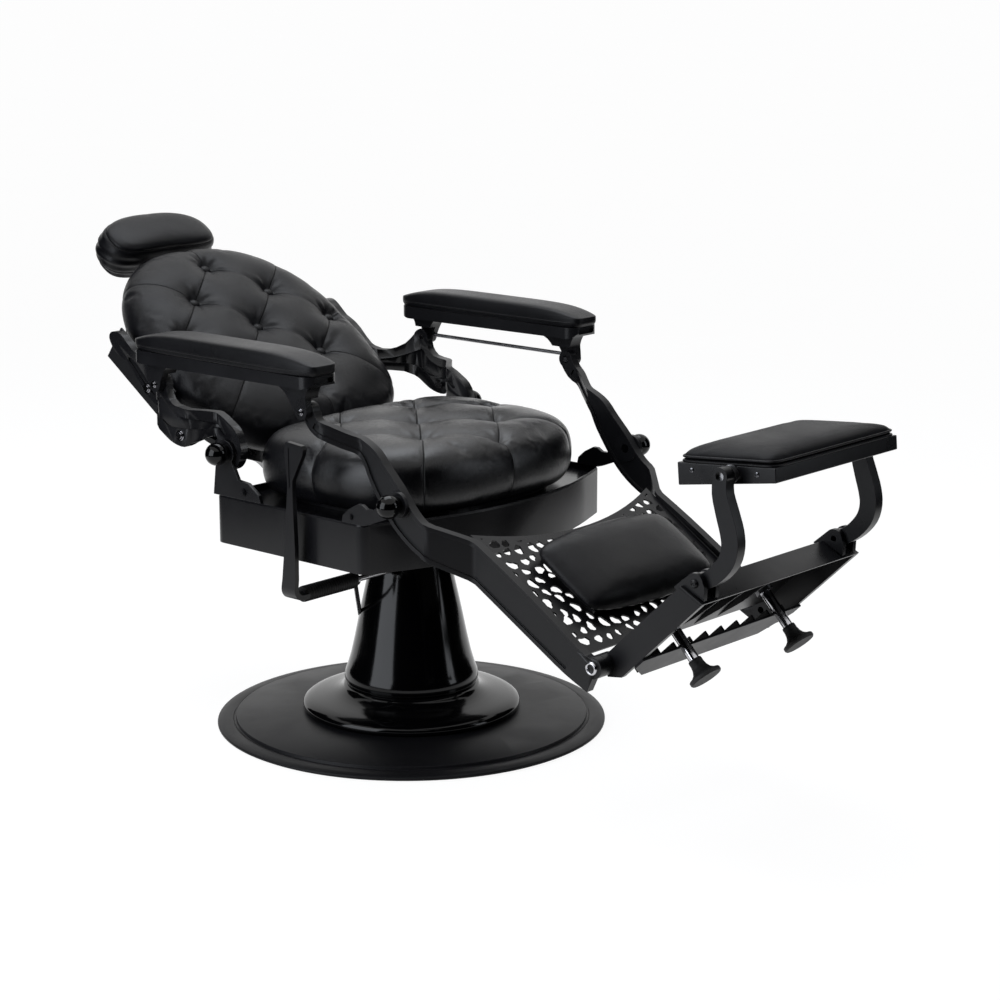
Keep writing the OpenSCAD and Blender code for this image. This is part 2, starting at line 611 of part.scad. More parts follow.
// The upper back bolt seen from the frame of the back
module bolt_on_back() rotate([-back_tilt, 0, 0]) {
  p = lay(back_mid_share);
  translate([0, -p[0], -p[1]]) rod_x(0, reach, lay(bolt_high_share), pin_r);
}
module back_cushion() color("#24242a") on_back() translate([0, 0, back_low])
  stuffed([for (r = back_ring_shares) [r[0], r[1]*back_t, r[2]]], 48, function(t) back_line(t),
    function(x, y) tufted(x, y, back_w*back_tuft_x_share/2, back_l*back_tuft_y_share/2,
      back_button, back_valley, back_dimple));
back_bolt_d = 20;
back_nut_t = 6;
module back_bolts() color("#c9c9ce") both() {
  dome_x(arm_x + half_cast, lay(bolt_low_share), back_bolt_d, bolt_head_h);
  rod_x(in_x - back_nut_t, arm_x + half_cast, lay(bolt_low_share), pin_r);
  rod_x(in_x - back_nut_t, in_x, lay(bolt_low_share), back_bolt_d*0.45);
  dome_x(back_x + half_cast, lay(bolt_high_share), back_bolt_d*0.9, bolt_head_h);
  rod_x(wing_x - sheet, back_x + half_cast, lay(bolt_high_share), pin_r);
}

// Headrest
post_w = 40;
post_t = 8;
post_out = 90;
guide_under = 134.867;
guide_low = back_up - guide_under;
post_low = guide_low - post_out;
head_out = 53.133;
head_mid = back_up + head_out;
guide_t = 6;
guide_h = 26;
guide_step = 70;
post_z = board_low - gap - post_t;
module headrest_guides() color("#1d1d20") on_back() for (s = [guide_low, guide_low + guide_step])
  difference() {
    translate([-post_w/2 - gap - guide_t, s, post_z - gap - guide_t])
      cube([post_w + 2*gap + 2*guide_t, guide_h, post_t + 2*gap + guide_t]);
    translate([-post_w/2 - gap, s - eps, post_z - gap])
      cube([post_w + 2*gap, guide_h + 2*eps, post_t + 3*gap + eps]);
  }
tilt_z = post_z + post_t/2;
knuckle_r = 7;
module headrest_post() color("#b9b9be") on_back() difference() {
  union() {
    translate([-post_w/2, post_low, post_z]) cube([post_w, head_mid - post_low, post_t]);
    translate([-post_w/2, head_mid, tilt_z]) rotate([0, 90, 0]) cylinder(post_w, knuckle_r, knuckle_r);
  }
  translate([-post_w, head_mid, tilt_z]) rotate([0, 90, 0]) cylinder(2*post_w, pin_r + fit, pin_r + fit);
}
head_board_t = 8;
head_low = tilt_z + knuckle_r + gap*2 + head_board_t;
lug_t = 6;
module headrest_bracket() color("#1d1d20") on_back() both() {
  translate([post_w/2 + gap - lug_t, head_mid, tilt_z]) rotate([0, 90, 0]) cylinder(lug_t*1.5, pin_r, pin_r);
  translate([post_w/2 + gap, 0, 0]) union() {
    translate([0, head_mid - knuckle_r*2, tilt_z]) cube([lug_t, knuckle_r*4, head_low - head_board_t - tilt_z]);
    translate([0, head_mid, tilt_z]) rotate([0, 90, 0]) cylinder(lug_t, knuckle_r, knuckle_r);
  }
}
head_up = 64;
head_down = 62;
head_hollow = 22;
function head_line(t) = let(o = oval(t, head_w/2, head_up, head_down, 2.5, 2.6), q = o[0]*2/head_w)
  [o[0], o[1] + (o[1] < 0 ? head_hollow*(1 - q*q)*min(1, -2*o[1]/head_down) : 0)];
head_ring_shares = [[0.5, 0, 0], [0.84, 0, 0], [0.92, 0.08, 0], [0.975, 0.25, 0], [1, 0.45, 0],
  [0.985, 0.66, 0], [0.94, 0.82, 0], [0.86, 0.93, 0], [0.74, 0.98, 0], [0.55, 1.02, 0], [0.25, 1.04, 0]];
module headrest_board() color("#17171a") on_back() translate([0, head_mid, head_low - head_board_t])
  linear_extrude(head_board_t) polygon([for (i = [0:47]) head_line(360*i/48)*0.84]);
module headrest_pad() color("#24242a") on_back() translate([0, head_mid, head_low])
  stuffed([for (r = head_ring_shares) [r[0], r[1]*head_t, r[2]]], 48, function(t) head_line(t),
    function(x, y) 0);

// armrests
arm_shift = 5;
arm_mid = arm_x + arm_shift;
arm_tall = 22;
arm_half = arm_w/2;
arm_under_shares = [
  [-0.6749, 0.4187], [-0.6749, 0.3941], [-0.6576, 0.3744], [-0.6207, 0.367],
  [-0.5862, 0.3695], [-0.2611, 0.3695], [0.0837, 0.3645], [0.3399, 0.3621], [0.3744, 0.3695],
  [0.3941, 0.3892], [0.3966, 0.4187]];
arm_back_post_shares = [
  [0.1675, 0.3941], [0.1872, 0.3719], [0.2315, 0.3498], [0.2537, 0.3202], [0.2709, 0.2857],
  [0.2857, 0.2463], [0.335, 0.2463], [0.3448, 0.2808], [0.3473, 0.3202], [0.3621, 0.3547],
  [0.3941, 0.3744], [0.3941, 0.3941]];
arm_front_post_shares = [
  [-0.6601, 0.3941], [-0.6453, 0.3842], [-0.6207, 0.3621], [-0.6059, 0.3251],
  [-0.6084, 0.2956], [-0.6059, 0.2512], [-0.5616, 0.2365], [-0.5419, 0.2562],
  [-0.5222, 0.2857], [-0.5025, 0.3153], [-0.4729, 0.3448], [-0.4187, 0.3695],
  [-0.3842, 0.3941]];
post_split = 4;
module arm_plan() translate([arm_mid - arm_half, 0]) polygon([for (q = concat(
    arc([arm_w - arm_tall, arm_end[1] - arm_tall], arm_tall, 0, 90, 6),
    arc([arm_tall, arm_end[1] - arm_tall], arm_tall, 90, 180, 6),
    arc([arm_tall, arm_end[0] + arm_tall], arm_tall, 180, 270, 6),
    arc([arm_w - arm_tall, arm_end[0] + arm_tall], arm_tall, 270, 360, 6))) q]);
arm_end = [lay(arm_under_shares[0])[0], lay(arm_under_shares[10])[0]];
arm_top = lay(arm_under_shares[0])[1];
arm_lap_z = arm_back[1] + cast_t + post_split;
tie_in = 15;
tie_up = 5;
module tie_shape() translate([lap_x + lap_t/2, arm_front[0] + tie_in, arm_front[1] + tie_up])
  rotate([-90, 0, 0]) cylinder(arm_back[0] - arm_front[0] - 2*tie_in, tie_d/2, tie_d/2, $fn = 24);
module arm_frame() color("#1d1d20") difference() {
  union() {
    intersection() {
      yz(0, 2*reach) polygon(laid(arm_under_shares));
      linear_extrude(deep) arm_plan();
    }
    yz(lap_x, lap_x + lap_t) {
      polygon(smooth(laid(arm_back_post_shares), 2));
      polygon(smooth(laid(arm_front_post_shares), 2));
      eye(arm_back, lap_t);
      eye(arm_front, lap_t);
    }
    intersection() {
      yz(in_x, lap_x + lap_t) {
        polygon(smooth(laid(arm_back_post_shares), 2));
        polygon(smooth(laid(arm_front_post_shares), 2));
      }
      translate([0, -deep/2, arm_lap_z]) cube([deep, deep, deep]);
    }
  }
  for (p = [arm_back, arm_front]) rod_x(0, reach, p, pin_r);
  tie_shape();
  translate([arm_mid - arm_half*0.55, arm_end[0] - eps, arm_top - arm_tall*0.62])
    cube([arm_half*1.1, arm_tall*0.4, arm_tall*0.42]);
}
module arm_frame_left() arm_frame();
module arm_frame_right() mirror([1, 0, 0]) arm_frame();
module tie_rod() color("#c9c9ce") tie_shape();
arm_pad_ring_shares = [[0.5, 0, 0], [0.94, 0, 0], [1, 0.12, 0], [1.01, 0.4, 0], [1, 0.62, 0.2],
  [0.96, 0.8, 0.5], [0.9, 0.91, 0.8], [0.8, 0.97, 1], [0.6, 1, 1], [0.3, 1.01, 1]];
function arm_pad_line(t) = oval(t, arm_half, (arm_end[1] - arm_end[0])/2, (arm_end[1] - arm_end[0])/2, 6, 6);
arm_fall = 14;
module arm_pad_shape() color("#24242a") translate([arm_mid, (arm_end[0] + arm_end[1])/2, arm_top])
  stuffed([for (r = arm_pad_ring_shares) [r[0], r[1]*arm_pad_t, r[2]]], 40, function(t) arm_pad_line(t),
    function(x, y) -arm_fall*pow(abs(y)*2/(arm_end[1] - arm_end[0]), 5));
module arm_pad_left() arm_pad_shape();
module arm_pad_right() mirror([1, 0, 0]) arm_pad_shape();
arm_screw_d = 13;
module arm_screws() color("#c9c9ce") for (p = [arm_back, arm_front]) {
  rod_x(in_x, lap_x + lap_t, p, pin_r);
  dome_x(lap_x + lap_t, p, arm_screw_d, bolt_head_h);
}
module arm_screws_left() arm_screws();
module arm_screws_right() mirror([1, 0, 0]) arm_screws();

// leg rest
leg_in_shares = [[0, 0], [0.12, 0.08], [0.33, 0.29], [0.67, 0.68], [0.88, 0.92], [1, 1]];
leg_rail_shares = [[0, 0], [0.15, 0.09], [0.5, 0.5], [0.85, 0.91], [1, 1]];
leg_in_start = 146;
leg_in_run = 60;
leg_rail_start = 50;
leg_rail_run = 66;
leg_path = concat([[arm_x, reach]], jog(leg_in_shares, leg[0] + leg_in_start, -leg_in_run, arm_x, side_x),
  jog(leg_rail_shares, leg[0] - leg_rail_start, -leg_rail_run, side_x, rail_x), [[rail_x, -deep]]);
leg_shares = [
  [-0.5788, 0.2635, 0.0345], [-0.6158, 0.2094, 0.032], [-0.67, 0.1823, 0.032],
  [-0.734, 0.1502, 0.032], [-0.7931, 0.1256, 0.0345], [-0.8424, 0.0862, 0.0468],
  [-0.8842, 0.0271, 0.0567], [-0.9532, -0.0567, 0.0665], [-1.0099, -0.1256, 0.0665],
  [-1.0739, -0.1798, 0.064], [-1.1478, -0.2192, 0.0665], [-1.2365, -0.2685, 0.0714],
  [-1.3645, -0.3424, 0.0739], [-1.4926, -0.4187, 0.0739], [-1.6527, -0.5172, 0.0714],
  [-1.7783, -0.5961, 0.0665], [-1.8892, -0.6502, 0.064]];
module leg_casting() color("#1f1f23") difference() {
  jogged(leg_path, 0, deep) {
    union() {
      polygon(strip(smooth(stations(leg_shares), 3)));
      eye(arm_front, cast_t*0.95);
      eye(foot, hinge_r*3);
    }
    difference() {
      polygon(strip(narrow(cut_ends(smooth(stations(leg_shares), 3), 3, 3), bead_w)));
      eye(leg, knob_d*0.6);
      eye(foot, hinge_r*3.4);
    }
  }
  rod_x(0, reach, leg, shank_r + fit);
  rod_x(0, reach, arm_front, pin_r + open_play);
  rod_x(0, reach, foot, hinge_r + fit);
}
module leg_casting_left() leg_casting();
module leg_casting_right() mirror([1, 0, 0]) leg_casting();

panel_tilt = 32.6;
panel_low = -138;
panel_high = 148;
panel_dip = 44;
panel_x = rail_x - half_cast;
module on_panel() {
  p = lay(panel_mid_share);
  translate([0, p[0], p[1]]) rotate([panel_tilt, 0, 0]) children();
}
panel_rim = 12;
function panel_line(by) = let(w = panel_x - by) concat([[-w, panel_low + by], [w, panel_low + by]],
  [for (i = [8:-1:-8]) [w*i/8, panel_high - by - panel_dip*(1 - pow(i/8, 2))]]);
// One rounded opening, its outline bent by two waves
module opening(r, a, b) polygon([for (t = [0:36:324])
  r*(1 + 0.2*cos(2*t - a) + 0.14*cos(3*t - b))*[cos(t), sin(t)]]);
module tracery() for (i = [-9:9], j = [-7:7]) let(
    x = cell*(i + (j%2 == 0 ? 0 : 0.5)) + cell*0.12*sin(i*131 + j*97),
    y = cell*j*0.86 + cell*0.12*sin(i*71 + j*149),
    r = cell*(0.31 + 0.07*sin(i*53 + j*181)))
  if (abs(x) < panel_x && !(abs(x) < calf_w*0.42 && abs(y - calf_y) < calf_l*0.46))
    translate([x, y]) opening(r, i*67 + j*41, i*29 + j*83);
module pierced_panel() color("#1f1f23") on_panel() linear_extrude(panel_t) difference() {
  polygon(panel_line(0));
  intersection() {
    polygon(panel_line(panel_rim));
    tracery();
  }
}
calf_y = -5;
calf_board_t = 8;
module calf_board() color("#17171a") on_panel() translate([-calf_w*0.43, calf_y - calf_l*0.44, panel_t])
  cube([calf_w*0.86, calf_l*0.88, calf_board_t]);
function calf_line(t) = let(o = oval(t, calf_w/2, calf_l/2, calf_l/2, 7, 7),
  u = o[0]*2/calf_w, v = o[1]*2/calf_l)
  [o[0]*(1 + 0.03*(1 - v*v)), o[1]*(1 + 0.2*(1 - u*u))];
calf_ring_shares = [[0.5, 0, 0], [0.86, 0, 0], [0.95, 0.08, 0], [1, 0.22, 0], [0.99, 0.38, 0],
  [0.95, 0.55, 0], [0.88, 0.72, 0], [0.78, 0.85, 0], [0.64, 0.94, 0], [0.45, 0.99, 0], [0.22, 1.01, 0]];
module calf_pad() color("#24242a") on_panel() translate([0, calf_y, panel_t + calf_board_t])
  stuffed([for (r = calf_ring_shares) [r[0], r[1]*(calf_t - calf_board_t), r[2]]], 36, function(t) calf_line(t),
    function(x, y) 0);

// footrest
foot_top = 11;
foot_low = -34;
end_out = 16;
foot_in_x = foot_x - foot_arm_t;
hub_r = 18;
module foot_arm() color("#26262a") difference() {
  on_foot() yz(foot_in_x, foot_x) union() {
    polygon([[0, foot_top], [-foot_l + sheet, foot_top], [-foot_l - end_out + sheet, foot_low],
      [-sheet*3, foot_low], [hub_r*0.6, -hub_r]]);
    circle(hub_r);
  }
  rod_x(0, reach, foot, hinge_r);
}
module foot_hub() difference() {
  rod_x(foot_x, panel_x - gap, foot, hub_r);
  rod_x(0, reach, foot, hinge_r);
}
module foot_arms() both() {
  foot_arm();
  foot_hub();
}
module foot_plate() color("#1d1d20") on_foot() {
  yz(-foot_in_x, foot_in_x) polygon([[-sheet*4, foot_top - sheet], [-sheet*4, foot_top],
    [-foot_l + sheet/2, foot_top], [-foot_l + sheet/2, foot_top - sheet]]);
  yz(-foot_x, foot_x) polygon([[-foot_l + sheet, foot_top], [-foot_l, foot_top],
    [-foot_l - end_out, foot_low], [-foot_l - end_out + sheet, foot_low]]);
  for (x = [0, post_x/2]) both() plate_rib(x);
}
under_cut = 46;
under_l = 68;
rib_edge = 35;
rib_step = (foot_in_x - rib_edge)/4;
rib_h = 10;
module under_panel() color("#141416") on_foot() {
  translate([0, 0, foot_low - sheet]) linear_extrude(sheet)
    polygon([[-foot_in_x + under_cut, -sheet/2], [foot_in_x - under_cut, -sheet/2], [foot_x, -under_cut],
      [foot_x, -under_l], [-foot_x, -under_l], [-foot_x, -under_cut]]);
  for (x = [-4:4]) translate([x*rib_step - sheet/2, -under_l, foot_low])
    cube([sheet, under_l - 2*sheet, rib_h]);
}
module plate_rib(x) yz(x - sheet/2, x + sheet/2)
  polygon([[-foot_l + sheet, foot_top - sheet], [-sheet*6, foot_top - sheet],
    [-foot_l*0.4, foot_top - sheet - rib_h], [-foot_l + sheet, foot_top - sheet - rib_h*2]]);
post_r = 9;
post_hang = 98;
post_in = 85;
post_top = foot_top - sheet;
module foot_posts() color("#c9c9ce") on_foot() both() translate([post_x, -post_in, -post_hang]) {
  cylinder(post_hang + post_top, post_r, post_r);
  translate([0, 0, post_hang + post_top - flange_t]) difference() {
    cylinder(flange_t, post_r*1.7, post_r*1.7);
    translate([0, 0, -eps]) cylinder(flange_t + 2*eps, post_r, post_r);
  }
}
foot_shares = [[0.33, 1.05], [0.4, 1.05], [0.42, 0.95], [0.42, 0.75], [0.47, 0.5], [0.58, 0.28],
  [0.78, 0.12], [0.96, 0.05], [1, 0], [1, -0.14], [0.94, -0.22], [0, -0.22], [0, 0], [0.33, 0]];
foot_d = 55;
foot_h = 28;
module rubber_feet() color("#131313") on_foot() both()
  translate([post_x, -post_in, -post_hang]) rotate_extrude($fn = 48)
    polygon([for (q = foot_shares) [q[0] == 0.33 ? post_r : q[0]*foot_d/2, q[1]*foot_h]]);
module foot_screws() color("#c9c9ce") both() {
  rod_x(foot_in_x, rail_x + half_cast + gap, foot, hinge_r);
  dome_x(rail_x + half_cast + gap, foot, hinge_r*4, bolt_head_h);
  rod_x(pad_arm_x - pad_arm_t/2 - gap - cheek_t, pad_arm_x + pad_arm_t/2 + gap + cheek_t, clamp, pin_r);
  dome_x(pad_arm_x + pad_arm_t/2 + gap + cheek_t, clamp, pin_r*3.4, bolt_head_h);
}

// Clamps that hold the swinging foot pad arms
pad_arm_in = 26;
pad_arm_x = foot_x - pad_arm_in;
pad_arm_t = 20;
cheek_t = 9;
clamp_r = 16;
module pad_clamps() color("#161618") both() difference() {
  on_foot() {
    for (x = [pad_arm_x - pad_arm_t/2 - gap - cheek_t, pad_arm_x + pad_arm_t/2 + gap])
      yz(x, x + cheek_t) union() {
        polygon([[-foot_l + end_out, foot_top], [-foot_l + end_out, foot_top + sheet*2],
          [clamp_at[0], clamp_at[1] + clamp_r], [clamp_at[0] - clamp_r, clamp_at[1]],
          [clamp_at[0] - clamp_r*0.7, clamp_at[1] - clamp_r], [-foot_l - end_out, foot_low + sheet],
          [-foot_l, foot_top]]);
        intersection() {
          translate(clamp_at) circle(clamp_r);
          translate([clamp_at[0] - 2*clamp_r, clamp_at[1] - 2*clamp_r]) square([2*clamp_r, 4*clamp_r]);
        }
      }
    yz(pad_arm_x - pad_arm_t/2 - gap, pad_arm_x + pad_arm_t/2 + gap)
      polygon([[-foot_l + end_out, foot_top], [-foot_l + end_out, foot_top + sheet*2],
        [-foot_l + sheet*0.5, foot_top + sheet*2], [-foot_l + sheet*0.5, foot_top]]);
  }
  rod_x(0, reach, clamp, pin_r);
}
pad_arm_shares = [[0.0000, 0.0000, 0.0320], [-0.0369, 0.0123, 0.0320], [-0.0837, 0.0468, 0.0345],
  [-0.1256, 0.0985, 0.0369], [-0.1404, 0.1552, 0.0382], [-0.1330, 0.2118, 0.0394], [-0.1108, 0.2783,
  0.0382], [-0.0887, 0.3498, 0.0345], [-0.0887, 0.4163, 0.0320]];
function from_clamp(p) = [for (q = p) [clamp[0] + q[0]*link_base, clamp[1] + q[1]*link_base, q[2]*link_base]];
boss_r = 14;
boss_bore = 7;
boss_deep = 7;
module pad_arm() color("#26262a") difference() {
  yz(pad_arm_x - pad_arm_t/2, pad_arm_x + pad_arm_t/2) union() {
    polygon(strip(smooth(from_clamp(pad_arm_shares), 3)));
    eye(clamp, clamp_r*0.85);
    eye(pad, boss_r);
  }
  rod_x(0, reach, clamp, pin_r + fit);
  rod_x(0, reach, pad, boss_bore + fit);
}
module pad_arms() both() pad_arm();

pad_tilt = -5;
pad_back = 103;
pad_front = 80;
box_low = -11;
box_deep = -24;
box_top = 12;
pad_w = 2*(pad_arm_x - pad_arm_t/2 - pad_gap);
module on_pad() translate([0, pad[0], pad[1]]) rotate([pad_tilt, 0, 0]) children();
module pad_box() color("#26262a") on_pad() yz(-pad_w/2, pad_w/2)
  polygon([[-pad_front, box_low], [pad_back, box_deep], [pad_back, box_top], [-pad_front, box_top]]);
module pad_pins() color("#8a8a90") both() {
  rod_x(pad_w/2, pad_w/2 + sheet, pad, boss_r);
  rod_x(pad_w/2 + sheet, pad_arm_x + pad_arm_t/2 - boss_deep, pad, boss_bore);
}
function pad_line(t) = oval(t, pad_w/2, pad_back, pad_front, 14, 14);
pad_ring_shares = [[0.5, 0, 0], [0.98, 0, 0], [1, 0.08, 0], [1, 0.3, 0], [0.985, 0.46, 0],
  [0.955, 0.6, 0], [0.9, 0.74, 0], [0.8, 0.86, 0], [0.65, 0.94, 0], [0.45, 0.98, 0], [0.22, 1, 0]];
module foot_pad() color("#24242a") on_pad() translate([0, 0, box_top])
  stuffed([for (r = pad_ring_shares) [r[0], r[1]*pad_t, r[2]]], 40, function(t) pad_line(t),
    function(x, y) 0);
module pad_screws() color("#c9c9ce") on_pad() both() for (y = [-pad_front*0.57, pad_back*0.74])
  dome_x(pad_w/2, [y, (box_low + box_top)/2], bolt_head_d*0.55, bolt_head_h*0.5);

floor_ring();
base_disc();
base_collar();
lift_cylinder();
cylinder_bolts();
ram();
thrust_bearing();
pedestal_cone();
pump_head();
mount_plate();
mount_bolts();
seat_pan();
pan_lid();
seat_board();
seat_cushion();
front_brackets();
rear_brackets();
pivot_knobs();
bracket_bolts();
pump_lever();
lever_sleeve();
lever_shaft();
sleeve_stay();
back_casting_left();
back_casting_right();
back_cross_bar();
back_board();
back_cushion();
back_bolts();
headrest_guides();
headrest_post();
headrest_bracket();
headrest_board();
headrest_pad();
arm_frame_left();
arm_frame_right();
arm_pad_left();
arm_pad_right();
tie_rod();
arm_screws_left();
arm_screws_right();
leg_casting_left();
leg_casting_right();
pierced_panel();
calf_board();
calf_pad();
foot_arms();
foot_plate();
under_panel();
foot_posts();
rubber_feet();
pad_clamps();
foot_screws();
pad_arms();
pad_box();
pad_pins();
foot_pad();
pad_screws();
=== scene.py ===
"""Looks of a reclining barber chair: leather, castings, pedestal, studio and camera."""

import json
import math

import bmesh
import bpy
import numpy as np
from mathutils import Matrix, Vector

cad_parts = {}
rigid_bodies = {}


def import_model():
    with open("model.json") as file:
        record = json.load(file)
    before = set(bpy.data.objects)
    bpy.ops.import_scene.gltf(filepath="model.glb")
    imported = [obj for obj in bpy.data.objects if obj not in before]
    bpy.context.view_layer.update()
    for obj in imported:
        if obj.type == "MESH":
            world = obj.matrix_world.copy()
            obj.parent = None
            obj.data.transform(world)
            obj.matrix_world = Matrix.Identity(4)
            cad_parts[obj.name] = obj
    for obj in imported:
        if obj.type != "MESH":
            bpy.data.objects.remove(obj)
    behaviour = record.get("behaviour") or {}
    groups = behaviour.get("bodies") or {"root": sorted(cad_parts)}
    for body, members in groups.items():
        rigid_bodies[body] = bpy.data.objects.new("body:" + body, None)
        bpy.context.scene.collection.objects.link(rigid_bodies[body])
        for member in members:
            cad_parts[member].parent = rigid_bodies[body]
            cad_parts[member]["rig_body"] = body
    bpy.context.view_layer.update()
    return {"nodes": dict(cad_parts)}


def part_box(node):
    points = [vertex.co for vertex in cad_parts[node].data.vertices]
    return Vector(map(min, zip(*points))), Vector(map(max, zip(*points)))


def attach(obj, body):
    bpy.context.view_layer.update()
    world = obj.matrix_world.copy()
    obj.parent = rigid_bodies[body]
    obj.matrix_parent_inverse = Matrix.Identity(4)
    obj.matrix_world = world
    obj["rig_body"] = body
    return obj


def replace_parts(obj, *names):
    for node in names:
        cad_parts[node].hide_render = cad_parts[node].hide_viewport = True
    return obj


bl_info = {
    "name": "Barber chair looks",
    "version": (1, 0, 0),
    "blender": (4, 5, 0),
    "location": "3D View > Sidebar > Chair",
    "description": "Dresses the solids of a reclining barber chair",
    "category": "Object",
}

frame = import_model()
NODES = frame["nodes"]
MM = 0.001
IN_MM = Matrix.Scale(MM, 4)

# Frames of the tilted groups: a point in millimetres and a tilt about X in degrees
BACK_FRAME = ((0, 368, 636), 35.0)
LEG_FRAME = ((0, -475, 359), 32.6)
FOOT_FRAME = ((0, -621, 274), -43.5)
PAD_FRAME = ((0, -822, 601), -5.0)
SEAT_FRAME = ((0, -22, 439.4), 0.0)

# Undersides of the back cushion and the headrest pad in the back's frame
BACK_LOW = -66.04
HEAD_LOW = -66.64

FINISHES = {
    "satin_black": [
        "back_casting_left", "back_casting_right", "leg_casting_left", "leg_casting_right",
        "pierced_panel", "front_brackets", "rear_brackets",
        "back_cross_bar", "arm_frame_left", "arm_frame_right", "foot_arms",
        "foot_plate", "pad_clamps", "pad_arms", "pad_box", "pump_lever",
        "headrest_guides", "headrest_bracket", "mount_plate", "bracket_bolts",
        "seat_board", "calf_board", "headrest_board",
    ],
    "semi_gloss": ["seat_pan", "pan_lid"],
    "dull_black": ["base_disc", "under_panel"],
    "gloss_black": ["base_collar", "pedestal_cone", "pivot_knobs"],
    "chrome": [
        "foot_posts", "arm_screws_left", "arm_screws_right", "back_bolts", "pad_screws",
    ],
    "steel": [
        "ram", "thrust_bearing", "lift_cylinder", "cylinder_bolts", "pump_head", "mount_bolts",
        "lever_shaft", "headrest_post", "pad_pins", "foot_screws", "tie_rod", "sleeve_stay",
    ],
    "rubber": ["rubber_feet", "floor_ring", "lever_sleeve"],
    "back_shell": ["back_board"],
    "leather": [
        "seat_cushion", "back_cushion", "headrest_pad", "arm_pad_left", "arm_pad_right",
        "calf_pad", "foot_pad",
    ],
}


def place(frame_of):
    """Matrix that carries a tilted group's own millimetres into the chair, in metres."""
    at, tilt = frame_of
    turn = Matrix.Rotation(math.radians(tilt), 4, "X")
    return Matrix.Translation(Vector(at) * MM) @ turn @ IN_MM


def offset_frame(frame_of, step):
    """A tilted frame moved by a step along its own axes, in millimetres."""
    at, tilt = frame_of
    step = Vector(step)
    step.rotate(Matrix.Rotation(math.radians(tilt), 3, "X"))
    return tuple(Vector(at) + step), tilt


# Shader groups


class Nodes:
    """Small helper that adds and joins nodes in one tree."""

    def __init__(self, tree, place=None):
        self.tree, self.place = tree, place
        self.step = 0

    def feed(self, socket, value):
        """Gives a socket a link or a constant."""
        if isinstance(value, bpy.types.NodeSocket):
            self.tree.links.new(value, socket)
        else:
            socket.default_value = value

    def add(self, kind, inputs=None, **settings):
        node = self.tree.nodes.new(kind)
        node.location = (200 * (self.step % 8), -260 * (self.step // 8))
        self.step += 1
        for key, value in settings.items():
            setattr(node, key, value)
        for key, value in (inputs or {}).items():
            self.feed(node.inputs[key], value)
        return node

    def math(self, operation, a, b=0.0, clamp=False):
        return self.add("ShaderNodeMath", {0: a, 1: b}, operation=operation, use_clamp=clamp).outputs[0]

    def product(self, a, b, clamp=False):
        return self.math("MULTIPLY", a, b, clamp)

    def sum(self, a, b):
        return self.math("ADD", a, b)

    def remap(self, value, low, high, to_low=0.0, to_high=1.0):
        return self.add("ShaderNodeMapRange", {
            "Value": value, "From Min": low, "From Max": high,
            "To Min": to_low, "To Max": to_high}).outputs["Result"]

    def noise(self, scale, detail=3.0, rough=0.5, vector=None):
        return self.add("ShaderNodeTexNoise", {
            "Vector": self.place if vector is None else vector,
            "Scale": scale, "Detail": detail, "Roughness": rough}).outputs["Fac"]

    def seen(self):
        """1 where the camera, a mirror or glass looks, and 0 for light on the object."""
        path = self.add("ShaderNodeLightPath").outputs
        mirrored = self.math("MAXIMUM", path["Is Camera Ray"], path["Is Glossy Ray"])
        return self.math("MAXIMUM", mirrored, path["Is Transmission Ray"])


def shader_group(name, inputs, outputs):
    """An empty node group with named sockets, and its helper and socket lists."""
    tree = bpy.data.node_groups.new(name, "ShaderNodeTree")
    for label, value in inputs.items():
        kind = "NodeSocketVector" if value is None else "NodeSocketFloat"
        socket = tree.interface.new_socket(label, in_out="INPUT", socket_type=kind)
        if value is not None:
            socket.default_value = value
    for label in outputs:
        tree.interface.new_socket(label, in_out="OUTPUT", socket_type="NodeSocketFloat")
    nodes = Nodes(tree)
    given = nodes.add("NodeGroupInput").outputs
    result = nodes.add("NodeGroupOutput").inputs
    nodes.place = given.get("Vector")
    return nodes, given, result


def leather_grain_group():
    """Pebbled hide: fine cells, soft folds, a patchy tone and a patchy shine."""
    n, given, result = shader_group(
        "Leather grain", {"Vector": None, "Cells": 900.0, "Shine": 0.4}, ["Height", "Tone", "Roughness"])
    wobble = n.noise(120.0, 2.0)
    warped = n.add("ShaderNodeVectorMath", {
        0: wobble, 1: (0.002, 0.002, 0.002), 2: n.place}, operation="MULTIPLY_ADD").outputs[0]
    cells = n.add("ShaderNodeTexVoronoi", {
        "Vector": warped, "Scale": given["Cells"]}, feature="DISTANCE_TO_EDGE").outputs["Distance"]
    pebble = n.remap(cells, 0.0, 0.22)
    folds = n.noise(26.0, 6.0, 0.6)
    fine = n.noise(700.0, 2.0)
    rough = n.sum(n.product(pebble, 0.35), n.product(folds, 1.4))
    n.feed(result["Height"], n.sum(rough, n.product(fine, 0.2)))
    patch = n.noise(9.0, 4.0, 0.55)
    n.feed(result["Tone"], n.sum(n.remap(patch, 0.3, 0.7, 0.75, 1.2), n.product(pebble, 0.12)))
    worn = n.sum(n.remap(patch, 0.3, 0.7, -0.06, 0.06), n.remap(pebble, 0, 1, 0.05, -0.02))
    n.feed(result["Roughness"], n.sum(given["Shine"], worn))


def seam_group():
    """A sewn seam along the lines where a number is even.

    X is the number, Y the seam's weight and Z the spacing of two numbers in millimetres.
    """
    n, given, result = shader_group("Sewn seam", {"Lines": None, "Width": 1.5}, ["Line"])
    parts = n.add("ShaderNodeSeparateXYZ", {0: given["Lines"]}).outputs
    half = n.product(parts["X"], 0.5)
    away = n.math("ABSOLUTE", n.math("SUBTRACT", half, n.math("ROUND", half)))
    away = n.product(n.product(away, 2.0), parts["Z"])
    line = n.math("SUBTRACT", 1.0, n.math("DIVIDE", away, given["Width"]), True)
    n.feed(result["Line"], n.product(line, parts["Y"]))


